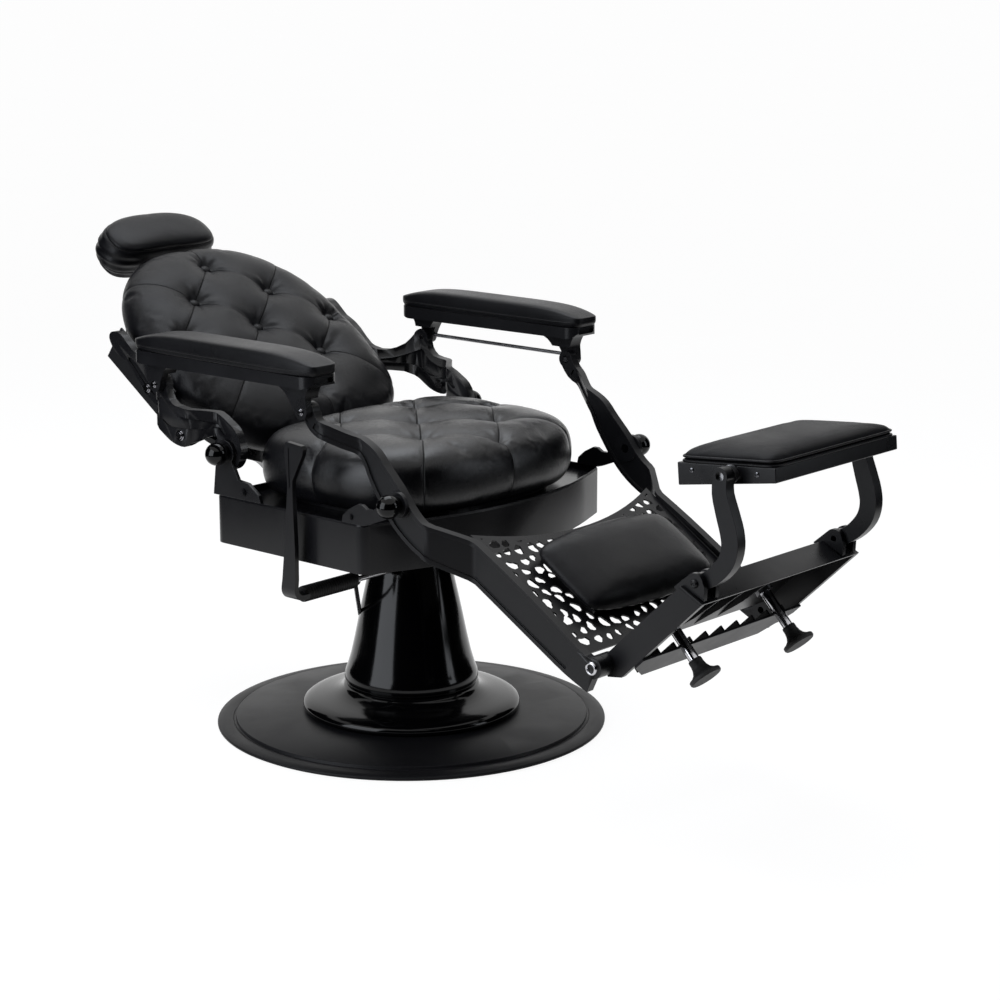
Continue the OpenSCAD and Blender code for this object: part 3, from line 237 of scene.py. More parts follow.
def paint_film_group():
    """Paint on metal: faint ripple, fine specks and uneven shine."""
    n, given, result = shader_group(
        "Paint film", {"Vector": None, "Ripple": 60.0, "Shine": 0.35, "Spread": 0.06},
        ["Height", "Tone", "Roughness"])
    ripple = n.noise(given["Ripple"], 2.0)
    speck = n.noise(1400.0, 2.0)
    smear = n.noise(7.0, 5.0, 0.6)
    n.feed(result["Height"], n.sum(ripple, n.product(speck, 0.12)))
    n.feed(result["Tone"], n.remap(smear, 0.3, 0.7, 0.85, 1.15))
    spread = n.product(given["Spread"], n.remap(smear, 0.3, 0.7, -1.0, 1.0))
    n.feed(result["Roughness"], n.sum(given["Shine"], spread))


def edge_wear_and_highlight_group():
    """Rubbed edges, also lightened as a painted highlight: a broken mask where the surface turns sharply
    outward.
    """
    n, given, result = shader_group("Edge wear", {"Vector": None, "Start": 0.52, "Full": 0.6}, ["Mask"])
    bend = n.add("ShaderNodeNewGeometry").outputs["Pointiness"]
    patch = n.noise(34.0, 5.0, 0.65)
    edge = n.remap(bend, given["Start"], given["Full"])
    n.feed(result["Mask"], n.product(edge, n.remap(patch, 0.35, 0.65, 0.25, 1.0), True))


def metal_marks_group():
    """Bright metal: hair-fine turning lines and a few wiped patches."""
    n, given, result = shader_group(
        "Metal marks", {"Vector": None, "Shine": 0.12, "Spread": 0.08, "Lines": 900.0},
        ["Height", "Tone", "Roughness"])
    stretched = n.add("ShaderNodeVectorMath", {
        0: n.place, 1: (0.05, 1.0, 1.0)}, operation="MULTIPLY").outputs[0]
    wiped = n.noise(18.0, 5.0, 0.6)
    n.feed(result["Height"], n.noise(given["Lines"], 3.0, 0.7, stretched))
    n.feed(result["Tone"], n.remap(wiped, 0.3, 0.7, 0.9, 1.05))
    spread = n.product(given["Spread"], n.remap(wiped, 0.35, 0.65, -0.4, 1.0))
    n.feed(result["Roughness"], n.sum(given["Shine"], spread))


def dust_group():
    """Light dust that gathers on faces that look up."""
    n, given, result = shader_group("Dust", {"Vector": None, "Amount": 0.3}, ["Mask"])
    normal = n.add("ShaderNodeNewGeometry").outputs["Normal"]
    up = n.remap(n.add("ShaderNodeSeparateXYZ", {0: normal}).outputs["Z"], 0.6, 1.0)
    cloud = n.remap(n.noise(11.0, 6.0, 0.7), 0.42, 0.68)
    n.feed(result["Mask"], n.product(n.product(up, cloud), given["Amount"], True))


GROUP_MAKERS = {
    "Leather grain": leather_grain_group,
    "Sewn seam": seam_group,
    "Paint film": paint_film_group,
    "Edge wear": edge_wear_and_highlight_group,
    "Metal marks": metal_marks_group,
    "Dust": dust_group,
}


def shared_group(name):
    """The named shader group, built when it is first wanted."""
    if name not in bpy.data.node_groups:
        GROUP_MAKERS[name]()
    return bpy.data.node_groups[name]


# Materials

SEAM_LABELS = ("seams_down", "seams_across", "seams_side")
MADE = {}


def finish_of(name):
    """The material of a finish; the frame has plain ones of the same names."""
    return MADE[name]


class Finish(Nodes):
    """A material with its Principled shader and an object coordinate."""

    def __init__(self, name, **constants):
        self.material = bpy.data.materials.new(name)
        self.material.use_nodes = True
        super().__init__(self.material.node_tree)
        self.shader = self.tree.nodes["Principled BSDF"]
        for key, value in constants.items():
            self.shader.inputs[key.replace("_", " ")].default_value = value
        self.place = self.add("ShaderNodeTexCoord").outputs["Object"]

    def group(self, name, **values):
        node = self.add("ShaderNodeGroup", node_tree=shared_group(name))
        if "Vector" in node.inputs:
            values["Vector"] = self.place
        for key, value in values.items():
            self.feed(node.inputs[key], value)
        return node.outputs

    def join(self, colour, roughness, normal):
        for name, output in (("Base Color", colour), ("Roughness", roughness), ("Normal", normal)):
            self.feed(self.shader.inputs[name], output)
        return self.material

    def tint(self, colour, tone):
        """A colour whose brightness follows a value."""
        return self.add("ShaderNodeVectorMath", {
            0: tuple(colour)[:3], "Scale": tone}, operation="SCALE").outputs[0]

    def blend_colours(self, factor, a, b):
        return self.add("ShaderNodeMix", {0: factor, 6: a, 7: b}, data_type="RGBA").outputs[2]

    def bump(self, height, strength, distance, below=None):
        inputs = {"Height": height, "Strength": strength, "Distance": distance}
        if below is not None:
            inputs["Normal"] = below
        return self.add("ShaderNodeBump", inputs).outputs[0]


def leather_material(look, name="leather_plain", seams=False, gloss=1.0):
    """Soft black hide, with sewn seams where the piece carries lines for them."""
    made = Finish(name, Specular_IOR_Level=look.leather_gloss * gloss, IOR=1.5)
    hide = made.group("Leather grain", Cells=look.grain_cells,
                      Shine=look.leather_roughness / gloss ** 0.35)
    colour = made.tint(look.leather_colour, hide["Tone"])
    roughness = hide["Roughness"]
    normal = made.bump(hide["Height"], 0.3, 0.0006)
    if seams:
        lines = []
        for label in SEAM_LABELS:
            stored = made.add("ShaderNodeAttribute", attribute_name=label).outputs["Vector"]
            lines.append(made.group("Sewn seam", Lines=stored)["Line"])
        line = made.math("MAXIMUM", made.math("MAXIMUM", lines[0], lines[1]), lines[2])
        colour = made.blend_colours(line, colour, (0.0008, 0.0008, 0.0008, 1))
        roughness = made.sum(roughness, made.product(line, 0.4))
        normal = made.bump(made.product(line, -1.0), 0.9, 0.0016, normal)
    dust = made.group("Dust", Amount=0.03)["Mask"]
    return made.join(made.blend_colours(dust, colour, (0.06, 0.06, 0.065, 1)), roughness, normal)


def painted_material(name, colour, shine, spread, ripple, wear_and_highlight, level, bump):
    """Black paint on metal, rubbed a little at its edges and lightened there as a painted highlight."""
    made = Finish(name, Specular_IOR_Level=level, IOR=1.5)
    film = made.group("Paint film", Ripple=ripple, Shine=shine, Spread=spread)
    worn_and_highlit_edge = made.group("Edge wear", Start=0.515, Full=0.6)["Mask"]
    dust = made.group("Dust", Amount=0.03)["Mask"]
    # Lighter edges: partly wear, partly a painted highlight
    worn = made.blend_colours(
        made.product(worn_and_highlit_edge, wear_and_highlight), made.tint(colour, film["Tone"]), (0.1, 0.1, 0.105, 1))
    rough = made.math("SUBTRACT", film["Roughness"], made.product(worn_and_highlit_edge, 0.08))
    return made.join(made.blend_colours(dust, worn, (0.03, 0.03, 0.033, 1)),
                     made.sum(rough, made.product(dust, 0.4)), made.bump(film["Height"], bump, 0.0004))


def bright_material(name, colour, shine, spread, lines, bump):
    """Chrome or plain steel."""
    made = Finish(name, Metallic=1.0)
    marks = made.group("Metal marks", Shine=shine, Spread=spread, Lines=lines)
    dust = made.group("Dust", Amount=0.1)["Mask"]
    rough = made.sum(marks["Roughness"], made.product(dust, 0.3))
    return made.join(made.tint(colour, marks["Tone"]), rough, made.bump(marks["Height"], bump, 0.0002))


def rubber_material(look):
    """Dull rubber with some dust."""
    made = Finish("rubber", Specular_IOR_Level=0.35)
    film = made.group("Paint film", Ripple=420.0, Shine=0.62, Spread=0.08)
    dust = made.group("Dust", Amount=0.18)["Mask"]
    rubber = made.tint(look.rubber_colour, film["Tone"])
    return made.join(made.blend_colours(dust, rubber, (0.13, 0.13, 0.13, 1)), film["Roughness"],
                     made.bump(film["Height"], 0.25, 0.0005))


def make_materials(look):
    """Every finish of the chair, by its name."""
    # Colour, roughness and its spread, ripples in a metre, edge wear with painted edge highlight,
    # reflection and bump
    paints = {
        "satin_black": (look.satin_colour, look.satin_roughness, 0.05, 90.0, 0.03, 0.26, 0.06),
        "semi_gloss": (look.satin_colour, 0.24, 0.03, 12.0, 0.02, 0.3, 0.03),
        "gloss_black": (look.gloss_colour, 0.12, 0.02, 12.0, 0.0, 0.24, 0.02),
        "dull_black": (look.satin_colour, 0.42, 0.04, 60.0, 0.03, 0.14, 0.05),
        "back_shell": (look.shell_colour, 0.5, 0.06, 300.0, 0.02, 0.22, 0.3),
    }
    made = {name: painted_material(name, *values) for name, values in paints.items()}
    made["leather"] = leather_material(look)
    made["chrome"] = bright_material("chrome", look.chrome_colour, 0.1, 0.07, 900.0, 0.05)
    made["steel"] = bright_material("steel", (0.36, 0.36, 0.37, 1), 0.26, 0.12, 700.0, 0.15)
    made["rubber"] = rubber_material(look)
    return made


# Mesh helpers


def new_mesh(name, points, faces):
    mesh = bpy.data.meshes.new(name)
    mesh.from_pydata([tuple(p) for p in points], [], faces)
    mesh.update()
    return mesh


def linked(name, mesh):
    """An object of the mesh, in the scene."""
    made = bpy.data.objects.new(name, mesh)
    bpy.context.scene.collection.objects.link(made)
    return made


def face_outward(mesh, weld=0.0):
    """Turns the faces outward, and first merges points that are nearer than weld."""
    shape = bmesh.new()
    shape.from_mesh(mesh)
    if weld:
        bmesh.ops.remove_doubles(shape, verts=shape.verts, dist=weld)
    bmesh.ops.recalc_face_normals(shape, faces=shape.faces)
    shape.to_mesh(mesh)
    shape.free()


def grown(name, points, faces, slot, body, where=None, material=None, weld=0.0):
    """A finished mesh piece that rides on a body."""
    mesh = new_mesh(name, points, faces)
    if where is not None:
        mesh.transform(where)
    face_outward(mesh, weld)
    mesh.materials.append(material or finish_of(slot))
    mesh.shade_smooth()
    piece = linked(name, mesh)
    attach(piece, body)
    return piece


def ring_faces(rows, around, start=0, closed=False):
    """Quads between rows of points that each go once round."""
    faces = []
    for j in range(rows if closed else rows - 1):
        a, b = start + j * around, start + (j + 1) % rows * around
        for k in range(around):
            m = (k + 1) % around
            faces.append((a + k, a + m, b + m, b + k))
    return faces


def lathed(profile, around, start=0, closed=False):
    """Points and quads of a profile [radius, height] that turns round Z."""
    turn = np.arange(around) * (2 * math.pi / around)
    points = [(r * math.cos(t), r * math.sin(t), h) for r, h in profile for t in turn]
    return np.array(points), ring_faces(len(profile), around, start, closed)


def oval(count, half, up, low, n_up, n_low):
    """Points of a superellipse with its own length and exponent ahead and behind."""
    t = np.linspace(0, 2 * np.pi, count, endpoint=False)
    c, s = np.cos(t), np.sin(t)
    n = np.where(s >= 0, n_up, n_low)
    b = np.where(s >= 0, up, low)
    x = half * np.sign(c) * np.abs(c) ** (2 / n)
    return np.stack([x, b * np.sign(s) * np.abs(s) ** (2 / n)], 1)


def run_along(path):
    """Distance run at each point of a path."""
    return np.concatenate([[0], np.cumsum(np.linalg.norm(np.diff(path, axis=0), axis=1))])


def evened(outline, count):
    """The same closed outline with evenly spaced points."""
    loop = np.vstack([outline, outline[:1]])
    run = run_along(loop)
    at = np.linspace(0, run[-1], count, endpoint=False)
    return np.stack([np.interp(at, run, loop[:, k]) for k in (0, 1)], 1)


def dense(rings, steps):
    """Rings [share, height] drawn through by a smooth curve."""
    rings = np.array(rings, float)
    run = run_along(rings)
    out = []
    for value in np.linspace(0, run[-1], steps):
        i = min(max(int(np.searchsorted(run, value)) - 1, 0), len(run) - 2)
        t = (value - run[i]) / max(run[i + 1] - run[i], 1e-9)
        a, b, c, d = (rings[min(max(i + k, 0), len(rings) - 1)] for k in (-1, 0, 1, 2))
        out.append((2 * b + (c - a) * t + (2 * a - 5 * b + 4 * c - d) * t * t
                    + (3 * b - a - 3 * c + d) * t ** 3) / 2)
    return np.array(out)


def stuffed(outline, rings, thick):
    """A closed cushion from an outline in millimetres and rings [share of it, height]."""
    count, steps = len(outline), len(rings)
    points = np.vstack([np.column_stack([outline * r[0], np.full(count, r[1] * thick)]) for r in rings])
    points = np.vstack([points, [0, 0, rings[0][1] * thick], [0, 0, rings[-1][1] * thick]])
    low, high = len(points) - 2, len(points) - 1
    top = (steps - 1) * count
    faces = ring_faces(steps, count)
    for i in range(count):
        k = (i + 1) % count
        faces += [(low, k, i), (high, top + i, top + k)]
    return points, faces


def normals_of(points, faces):
    """Smooth normals of a numpy mesh."""
    mesh = new_mesh("normals", points, faces)
    face_outward(mesh)
    out = np.zeros(len(points) * 3)
    mesh.vertex_normals.foreach_get("vector", out)
    bpy.data.meshes.remove(mesh)
    return out.reshape(-1, 3)


def fade(gap, width):
    """1 at no distance, and rounded off to nothing at about twice the width."""
    return np.exp(-(gap / width) ** 2)


def ramp(value, low, high):
    """0 below the low value, 1 above the high one."""
    return np.clip((value - low) / (high - low), 0, 1)


def held_foot(points, thick):
    """1 on the underside of a cushion, fading out in the lowest part of its side."""
    return np.clip(1 - points[:, 2] / (0.08 * thick), 0, 1)


def diamond(step, mid):
    """Places of nine buttons on a diamond lattice."""
    return [(i * step[0], mid + j * step[1]) for i in range(-2, 3) for j in range(-2, 3)
            if (i + j) % 2 == 0 and abs(i) + abs(j) <= 2]


class Tufts:
    """Buttons on a diamond lattice, with crisp seams one way and soft rolls the other.

    Outside the outer buttons, seams run out and down the sides. All depths and widths
    are in millimetres.
    """

    def __init__(self, spacing, mid, **depths):
        self.spacing, self.mid = spacing, mid
        self.places = diamond(spacing, mid)
        self.across = 1 / math.hypot(1 / spacing[0], 1 / spacing[1])
        self.depths = depths

    def sides(self, points):
        """Numbers that pass through zero where a seam runs outward from an outer button."""
        x, y = points[:, 0], points[:, 1] - self.mid
        outer = [(a, b - self.mid) for a, b in self.places if abs(a) + abs(b - self.mid) > 1]
        at = np.sort([math.atan2(b, a) for a, b in outer])
        at = np.append(at, at[0] + 2 * math.pi)
        angle = np.arctan2(y, x)
        angle = np.where(angle < at[0], angle + 2 * math.pi, angle)
        slot = np.clip(np.searchsorted(at, angle, side="right") - 1, 0, len(at) - 2)
        share = (angle - at[slot]) / (at[slot + 1] - at[slot])
        arc = (at[slot + 1] - at[slot]) * np.hypot(x, y)
        return np.sin(np.pi * (share + slot)) * np.minimum(arc / np.pi / self.across, 1.2)

    def nearest(self, points):
        """Distance and bearing to the nearest button, and its index."""
        away = np.stack([np.hypot(points[:, 0] - x, points[:, 1] - y) for x, y in self.places], 1)
        index = away.argmin(1)
        spot = np.array(self.places)[index]
        bearing = np.arctan2(points[:, 1] - spot[:, 1], points[:, 0] - spot[:, 0])
        return away[np.arange(len(points)), index], bearing, index

    def relief(self, points, outward, thick):
        """How far the skin stands out or in, in millimetres, and its seam lines."""
        d, level = self.depths, points[:, 2] / thick
        x, y = points[:, 0] / self.spacing[0], (points[:, 1] - self.mid) / self.spacing[1]
        u, w = x + y, x - y
        du, dw = (np.abs(v - 2 * np.round(v / 2)) * self.across for v in (u, w))
        r, bearing, index = self.nearest(points)
        outside = ramp((np.maximum(np.abs(u), np.abs(w)) - 2) * self.across, 0, 18)
        inner = 1 - outside
        out = d["puff"] * np.sqrt(np.abs(np.sin(np.pi * u / 2) * np.sin(np.pi * w / 2))) * inner
        groove = 0.55 * fade(dw, 3.2) + 0.45 * fade(dw, 11)
        out -= d["seam"] * groove * inner * (0.7 + 0.6 * fade(r, 42))
        out -= d["roll"] * fade(du, d["roll_width"]) * inner * fade(r, d["reach"])
        out -= d["dimple"] * (fade(r, 15) + fade(r, 36)) / 2
        pleats = 0.6 * np.cos(7 * bearing + index * 1.7) + 0.4 * np.cos(11 * bearing + index * 2.3)
        out += d["star"] * pleats * fade(r - 24, 13)
        out *= ramp(level, 0.3, 0.55) * (0.3 + 0.7 * np.clip(outward[:, 2], 0, 1))
        number = self.sides(points)
        gap, down = number * self.across, outside * ramp(level, 0, 0.25)
        out -= d["side"] * (fade(gap, 4) + fade(gap, 14)) / 2 * down
        fine = ramp(inner, 0.375, 1) * ramp(level, 0.5, 0.75)
        near = fine * np.clip(1.4 * fade(r, d["line"]), 0, 1)
        return out, [(w, fine, self.across), (u, near, self.across), (number, down, self.across)]

    def held(self, points, thick):
        """How firmly each point of the skin is held while it inflates."""
        high = points[:, 2] > 0.6 * thick
        return np.maximum(held_foot(points, thick), high * fade(self.nearest(points)[0], 10))


class Boxing:
    """A boxed pad, with a seam round its foot.

    One with an edge has a seam round the top panel too, and pleats at its ends. Heights
    and half width are in millimetres.
    """

    reach = 30.0

    def __init__(self, foot, edge=None, half=None):
        self.foot, self.edge, self.half = foot, edge, half

    def relief(self, points, outward, thick):
        x, y, z = points.T
        one = np.ones(len(points))
        low = z - self.foot
        out = -1.2 * fade(low, 3)
        rim_line = one
        if self.edge is not None:
            rim = (z - self.edge) * 1.2
            out -= 1.6 * fade(rim, 3)
            rim_line = np.clip(rim / self.reach, -1, 1)
            ends = ramp(np.abs(x), 0.5 * self.half, 0.5 * self.half + 30)
            ends *= 1 - np.clip(outward[:, 2] * 1.4, 0, 1)
            pleat = np.sin(z / 3.1 + y * 0.035 + 0.8 * np.sin(y * 0.06))
            out += 1.7 * pleat * ends * fade(z - 0.5 * self.edge, 15)
        low_line = np.clip(low / self.reach, -1, 1)
        return out, [(rim_line, one, self.reach), (low_line, one, self.reach), (one, 0 * one, self.reach)]

    def held(self, points, thick):
        return held_foot(points, thick)


def mark_seams(piece, lines):
    """Stores the numbers that the sewn seams of the leather read."""
    for label, (number, weight, spacing) in zip(SEAM_LABELS, lines):
        layer = piece.data.attributes.new(label, "FLOAT_VECTOR", "POINT")
        values = np.column_stack([number, weight, np.full(len(number), spacing)])
        layer.data.foreach_set("vector", values.astype(np.float32).ravel())


def welt(name, outline, height, radius, body, where):
    """A round sewn welt along a closed outline, at a height over the cushion's foot."""
    sides = 10
    path = np.column_stack([outline, np.full(len(outline), height)])
    ahead = np.roll(path, -1, 0) - np.roll(path, 1, 0)
    ahead /= np.linalg.norm(ahead, axis=1)[:, None]
    up = np.array([0.0, 0.0, 1.0])
    side = np.cross(ahead, up)
    turn = np.linspace(0, 2 * np.pi, sides, endpoint=False)[:, None]
    round_it = np.cos(turn) * side[:, None] + np.sin(turn) * up
    points = (path[:, None] + radius * round_it).reshape(-1, 3)
    return grown(name, points, ring_faces(len(path), sides, closed=True), "leather", body, where)


def softened(node, finish, width, reshape=None, even=True):
    """A casting or plate with its sharp edges eased, in place of the plain solid."""
    source = NODES[node]
    mesh = source.data.copy()
    mesh.name = node + "_eased"
    shape = bmesh.new()
    shape.from_mesh(mesh)
    bmesh.ops.remove_doubles(shape, verts=shape.verts, dist=1e-6)
    bmesh.ops.dissolve_limit(shape, angle_limit=math.radians(1.0), verts=shape.verts, edges=shape.edges)
    if reshape:
        for corner in shape.verts:
            corner.co = Vector(reshape(corner.co / MM)) * MM
    shape.to_mesh(mesh)
    shape.free()
    mesh.materials.clear()
    mesh.materials.append(finish_of(finish))
    mesh.shade_smooth()
    piece = linked(node + "_eased", mesh)
    ease = piece.modifiers.new("Eased edges", "BEVEL")
    ease.width = width * MM
    ease.segments = 2
    ease.limit_method = "ANGLE"
    ease.angle_limit = math.radians(35)
    if even:
        piece.modifiers.new("Even shading", "WEIGHTED_NORMAL").keep_sharp = True
    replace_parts(piece, node)
    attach(piece, source["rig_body"])


# Cloth

VOXEL = 6.0
FRAMES = 20
CLOTH = dict(
    quality=5, mass=0.3, tension_stiffness=15, compression_stiffness=15, shear_stiffness=5,
    bending_stiffness=0.5, use_pressure=True, uniform_pressure_force=4, vertex_group_mass="held",
)


def points_of(holder):
    """The points of an object after its modifiers."""
    mesh = holder.evaluated_get(bpy.context.evaluated_depsgraph_get()).data
    out = np.zeros(len(mesh.vertices) * 3)
    mesh.vertices.foreach_get("co", out)
    return out.reshape(-1, 3), [tuple(face.vertices) for face in mesh.polygons]


def puffed(points, faces, held, cap, share):
    """The skin after a short cloth inflation, held where held(points) is near 1.

    No point goes further than the cap, in millimetres, and share of its way is kept.
    """
    skin = linked("skin", new_mesh("skin", points * MM, faces))
    face_outward(skin.data)
    bpy.context.view_layer.objects.active = skin
    skin.data.remesh_voxel_size = VOXEL * MM
    with bpy.context.temp_override(active_object=skin, object=skin, selected_objects=[skin]):
        bpy.ops.object.voxel_remesh()
    start = np.zeros(len(skin.data.vertices) * 3)
    skin.data.vertices.foreach_get("co", start)
    start = start.reshape(-1, 3)
    pins = skin.vertex_groups.new(name="held")
    for index, weight in enumerate(held(start / MM)):
        if weight > 0.01:
            pins.add([index], float(min(weight, 1.0)), "REPLACE")
    cloth = skin.modifiers.new("Cloth", "CLOTH")
    for key, value in CLOTH.items():
        setattr(cloth.settings, key, value)
    cloth.settings.effector_weights.gravity = 0
    cloth.collision_settings.use_collision = False
    cloth.point_cache.frame_start = 1
    cloth.point_cache.frame_end = FRAMES
    for number in range(1, FRAMES + 1):
        bpy.context.scene.frame_set(number)
    moved, shape = points_of(skin)
    bpy.context.scene.frame_set(1)
    shift = moved - start
    far = np.linalg.norm(shift, axis=1)
    scale = np.minimum(1.0, cap * MM / np.maximum(far, 1e-9))
    bpy.data.objects.remove(skin)
    return (start + shift * scale[:, None] * share) / MM, shape


def divided(points, faces):
    """The mesh after one smooth subdivision."""
    holder = linked("divided", new_mesh("divided", points, faces))
    holder.modifiers.new("Finer", "SUBSURF").levels = 1
    out = points_of(holder)
    bpy.data.objects.remove(holder)
    return out


# Settings


def colour_of(name, description, *value):
    return bpy.props.FloatVectorProperty(
        name=name, description=description, default=(*value, 1), subtype="COLOR", size=4, min=0, max=1)


def number_of(name, description, value, low, high, **kind):
    return bpy.props.FloatProperty(
        name=name, description=description, default=value, min=low, max=high, **kind)


def share_of(name, description, value):
    return number_of(name, description, value, 0, 1, subtype="FACTOR")


class ChairLook(bpy.types.PropertyGroup):
    leather_colour: colour_of("Leather", "Colour of the hide", 0.0042, 0.0042, 0.0052)
    satin_colour: colour_of("Satin paint", "Colour of castings and plates", 0.006, 0.006, 0.0072)
    gloss_colour: colour_of("Gloss paint", "Colour of cone, collar and knobs", 0.0012, 0.0012, 0.0015)
    chrome_colour: colour_of("Chrome", "Colour of posts and screws", 0.5, 0.5, 0.52)
    rubber_colour: colour_of("Rubber", "Colour of feet and sleeve", 0.014, 0.014, 0.014)
    shell_colour: colour_of("Back shell", "Colour of the back board", 0.007, 0.007, 0.0078)
    leather_roughness: share_of("Leather roughness", "How dull the hide is", 0.34)
    leather_gloss: share_of("Leather gloss", "Strength of the hide's reflection", 0.165)
    satin_roughness: share_of("Satin roughness", "How dull the satin paint is", 0.34)
    grain_cells: number_of("Grain", "Hide cells in a metre", 900, 200, 2000)


class ChairSewing(bpy.types.PropertyGroup):
    back_across: number_of("Back buttons across", "Half the space across, in mm", 93, 60, 140)
    back_along: number_of("Back buttons along", "Half the space up the back, in mm", 85, 60, 140)
    back_mid: number_of("Back middle", "Height of the middle button, in mm", 35, -100, 100)
    seat_across: number_of("Seat tufts across", "Half the space across, in mm", 95, 60, 140)
    seat_along: number_of("Seat tufts along", "Half the space along the seat, in mm", 97, 60, 140)
    seat_mid: number_of("Seat middle", "Place of the middle tuft, in mm", 2, -100, 100)
    button: number_of("Button", "Radius of a covered button, in mm", 12, 5, 14)


class ChairStage(bpy.types.PropertyGroup):
    floor_colour: colour_of("Floor", "Colour of the floor and its shadows", 0.16, 0.16, 0.163)
    floor_white: share_of("Floor white", "White of the floor by itself", 0.92)
    lamp_colour: colour_of("Lamps", "Colour of the soft lights", 0.9, 0.94, 1.0)
    room: number_of("Room light", "Light that comes from all round", 0.4, 0, 2)
    top: number_of("Top light", "Power of the soft light overhead", 36, 0, 500, unit="POWER")
    left: number_of("Left light", "Power of the tall light on the left", 56, 0, 500, unit="POWER")
    right: number_of("Right light", "Power of the tall light on the right", 13, 0, 500, unit="POWER")
    curtain: number_of("Curtain", "Turn of the dark curtain round the front, in degrees", 270, 0, 340)
    lens: number_of("Lens", "Focal length on a 36 mm sensor, in mm", 89.96, 20, 200, unit="CAMERA")


SETTINGS = {"chair_look": ChairLook, "chair_sewing": ChairSewing, "chair_stage": ChairStage}


# Pieces

# Rings of the cushions, from the underside up: share of the outline and of the thickness
SEAT_RINGS = [
    (0.5, 0.0), (0.86, 0.0), (0.93, 0.03), (0.97, 0.11), (0.992, 0.24), (1.0, 0.4), (0.996, 0.58),
    (0.975, 0.75), (0.93, 0.88), (0.87, 0.955), (0.78, 0.995), (0.68, 1.005), (0.58, 1.0),
    (0.45, 0.99), (0.3, 0.98), (0.15, 0.975), (0.03, 0.975),
]
BACK_RINGS = [
    (0.5, 0.0), (0.8, 0.0), (0.875, 0.03), (0.94, 0.14), (0.985, 0.3), (1.0, 0.46), (0.996, 0.61),
    (0.977, 0.73), (0.94, 0.825), (0.885, 0.895), (0.81, 0.945), (0.72, 0.98), (0.6, 1.0),
    (0.45, 1.01), (0.3, 1.01), (0.15, 1.01), (0.03, 1.01),
]
HEAD_RINGS = [
    (0.5, 0.0), (0.87, 0.0), (0.95, 0.07), (0.985, 0.22), (1.0, 0.42), (0.992, 0.62), (0.965, 0.78),
    (0.9, 0.9), (0.78, 0.975), (0.55, 1.02), (0.3, 1.035), (0.05, 1.04),
]
ARM_RINGS = [
    (0.5, 0.0), (0.94, 0.0), (1.0, 0.1), (1.01, 0.36), (1.0, 0.6), (0.965, 0.78), (0.9, 0.9),
    (0.8, 0.965), (0.6, 1.0), (0.3, 1.01), (0.05, 1.01),
]
CALF_RINGS = [
    (0.5, 0.0), (0.86, 0.0), (0.95, 0.07), (0.995, 0.21), (0.99, 0.37), (0.955, 0.54), (0.89, 0.7),
    (0.79, 0.83), (0.65, 0.93), (0.45, 0.985), (0.22, 1.005), (0.04, 1.01),
]
PAD_RINGS = [
    (0.5, 0.0), (0.98, 0.0), (1.0, 0.08), (1.0, 0.3), (0.988, 0.46), (0.96, 0.6), (0.905, 0.74),
    (0.81, 0.86), (0.66, 0.95), (0.45, 0.99), (0.22, 1.01), (0.04, 1.015),
]


def cushion(name, node, body, form, frame_of, sewing,
            cap=8.0, share=1.0, mesh=(96, 288), gloss=1.0):
    """A leather cushion: form, short cloth inflation, sewn relief, seams and finish.

    Form is its outline, rings and thickness, and mesh its steps up and its points round.
    """
    outline, rings, thick = form
    steps, count = mesh
    points, faces = stuffed(evened(outline, count), dense(rings, steps), thick)
    shrunk = points * np.array([0.985, 0.985, 0.97]) + np.array([0, 0, 0.015 * thick])
    points, faces = divided(*puffed(shrunk, faces, lambda p: sewing.held(p, thick), cap, share))
    points[:, 2] = np.maximum(points[:, 2], 0.0)
    outward = normals_of(points, faces)
    relief, lines = sewing.relief(points, outward, thick)
    material = leather_material(bpy.context.scene.chair_look, "leather_" + name, True, gloss)
    piece = grown(name, points + outward * relief[:, None], faces, "leather", body,
                  place(frame_of), material)
    mark_seams(piece, lines)
    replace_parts(piece, node)
    return piece


class CHAIR_OT_finishes(bpy.types.Operator):
    """Makes the finishes and puts them on the chair's solids"""

    bl_idname = "chair.finishes"
    bl_label = "Finishes"

    def execute(self, context):
        MADE.update(make_materials(context.scene.chair_look))
        for finish, names in FINISHES.items():
            for name in names:
                slots = NODES[name].data.materials
                slots.clear()
                slots.append(finish_of(finish))
        return {"FINISHED"}


class CHAIR_OT_castings(bpy.types.Operator):
    """Eases the edges of the castings, brackets and arms"""

    bl_idname = "chair.castings"
    bl_label = "Castings"

    widths = {
        "back_casting_left": 2.0, "back_casting_right": 2.0,
        "leg_casting_left": 2.0, "leg_casting_right": 2.0,
        "front_brackets": 1.0, "rear_brackets": 1.0, "arm_frame_left": 1.6, "arm_frame_right": 1.6,
        "pump_lever": 1.6, "pad_arms": 2.4, "foot_arms": 1.2, "foot_plate": 0.8,
        "under_panel": 0.8, "pad_clamps": 1.2, "pad_box": 1.6, "seat_pan": 0.6, "pan_lid": 0.8,
        "back_board": 1.6, "base_disc": 1.2, "pedestal_cone": 0.6,
    }
    round_ones = ("pedestal_cone", "base_disc")

    # The back castings sink above this place along the back, over a run of millimetres
    sink_start, sink_run, sink_floor, sink_share = 10, 60, -38, 0.45

    def execute(self, context):
        for node, width in self.widths.items():
            finish = next(name for name, nodes in FINISHES.items() if node in nodes)
            reshape = self.sunk if node.startswith("back_casting") else None
            softened(node, finish, width, reshape, node not in self.round_ones)
        return {"FINISHED"}

    @classmethod
    def sunk(cls, corner):
        """Draws the upper end of a back casting down behind the cushion's edge."""
        (_, y_at, z_at), tilt = BACK_FRAME
        y, z = corner.y - y_at, corner.z - z_at
        s, c = math.sin(math.radians(tilt)), math.cos(math.radians(tilt))
        share = min(max((y * c + z * s - cls.sink_start) / cls.sink_run, 0), 1)
        high = z * c - y * s
        drop = share * share * (3 - 2 * share) * max(high - cls.sink_floor, 0) * cls.sink_share
        return corner.x, corner.y + drop * s, corner.z - drop * c


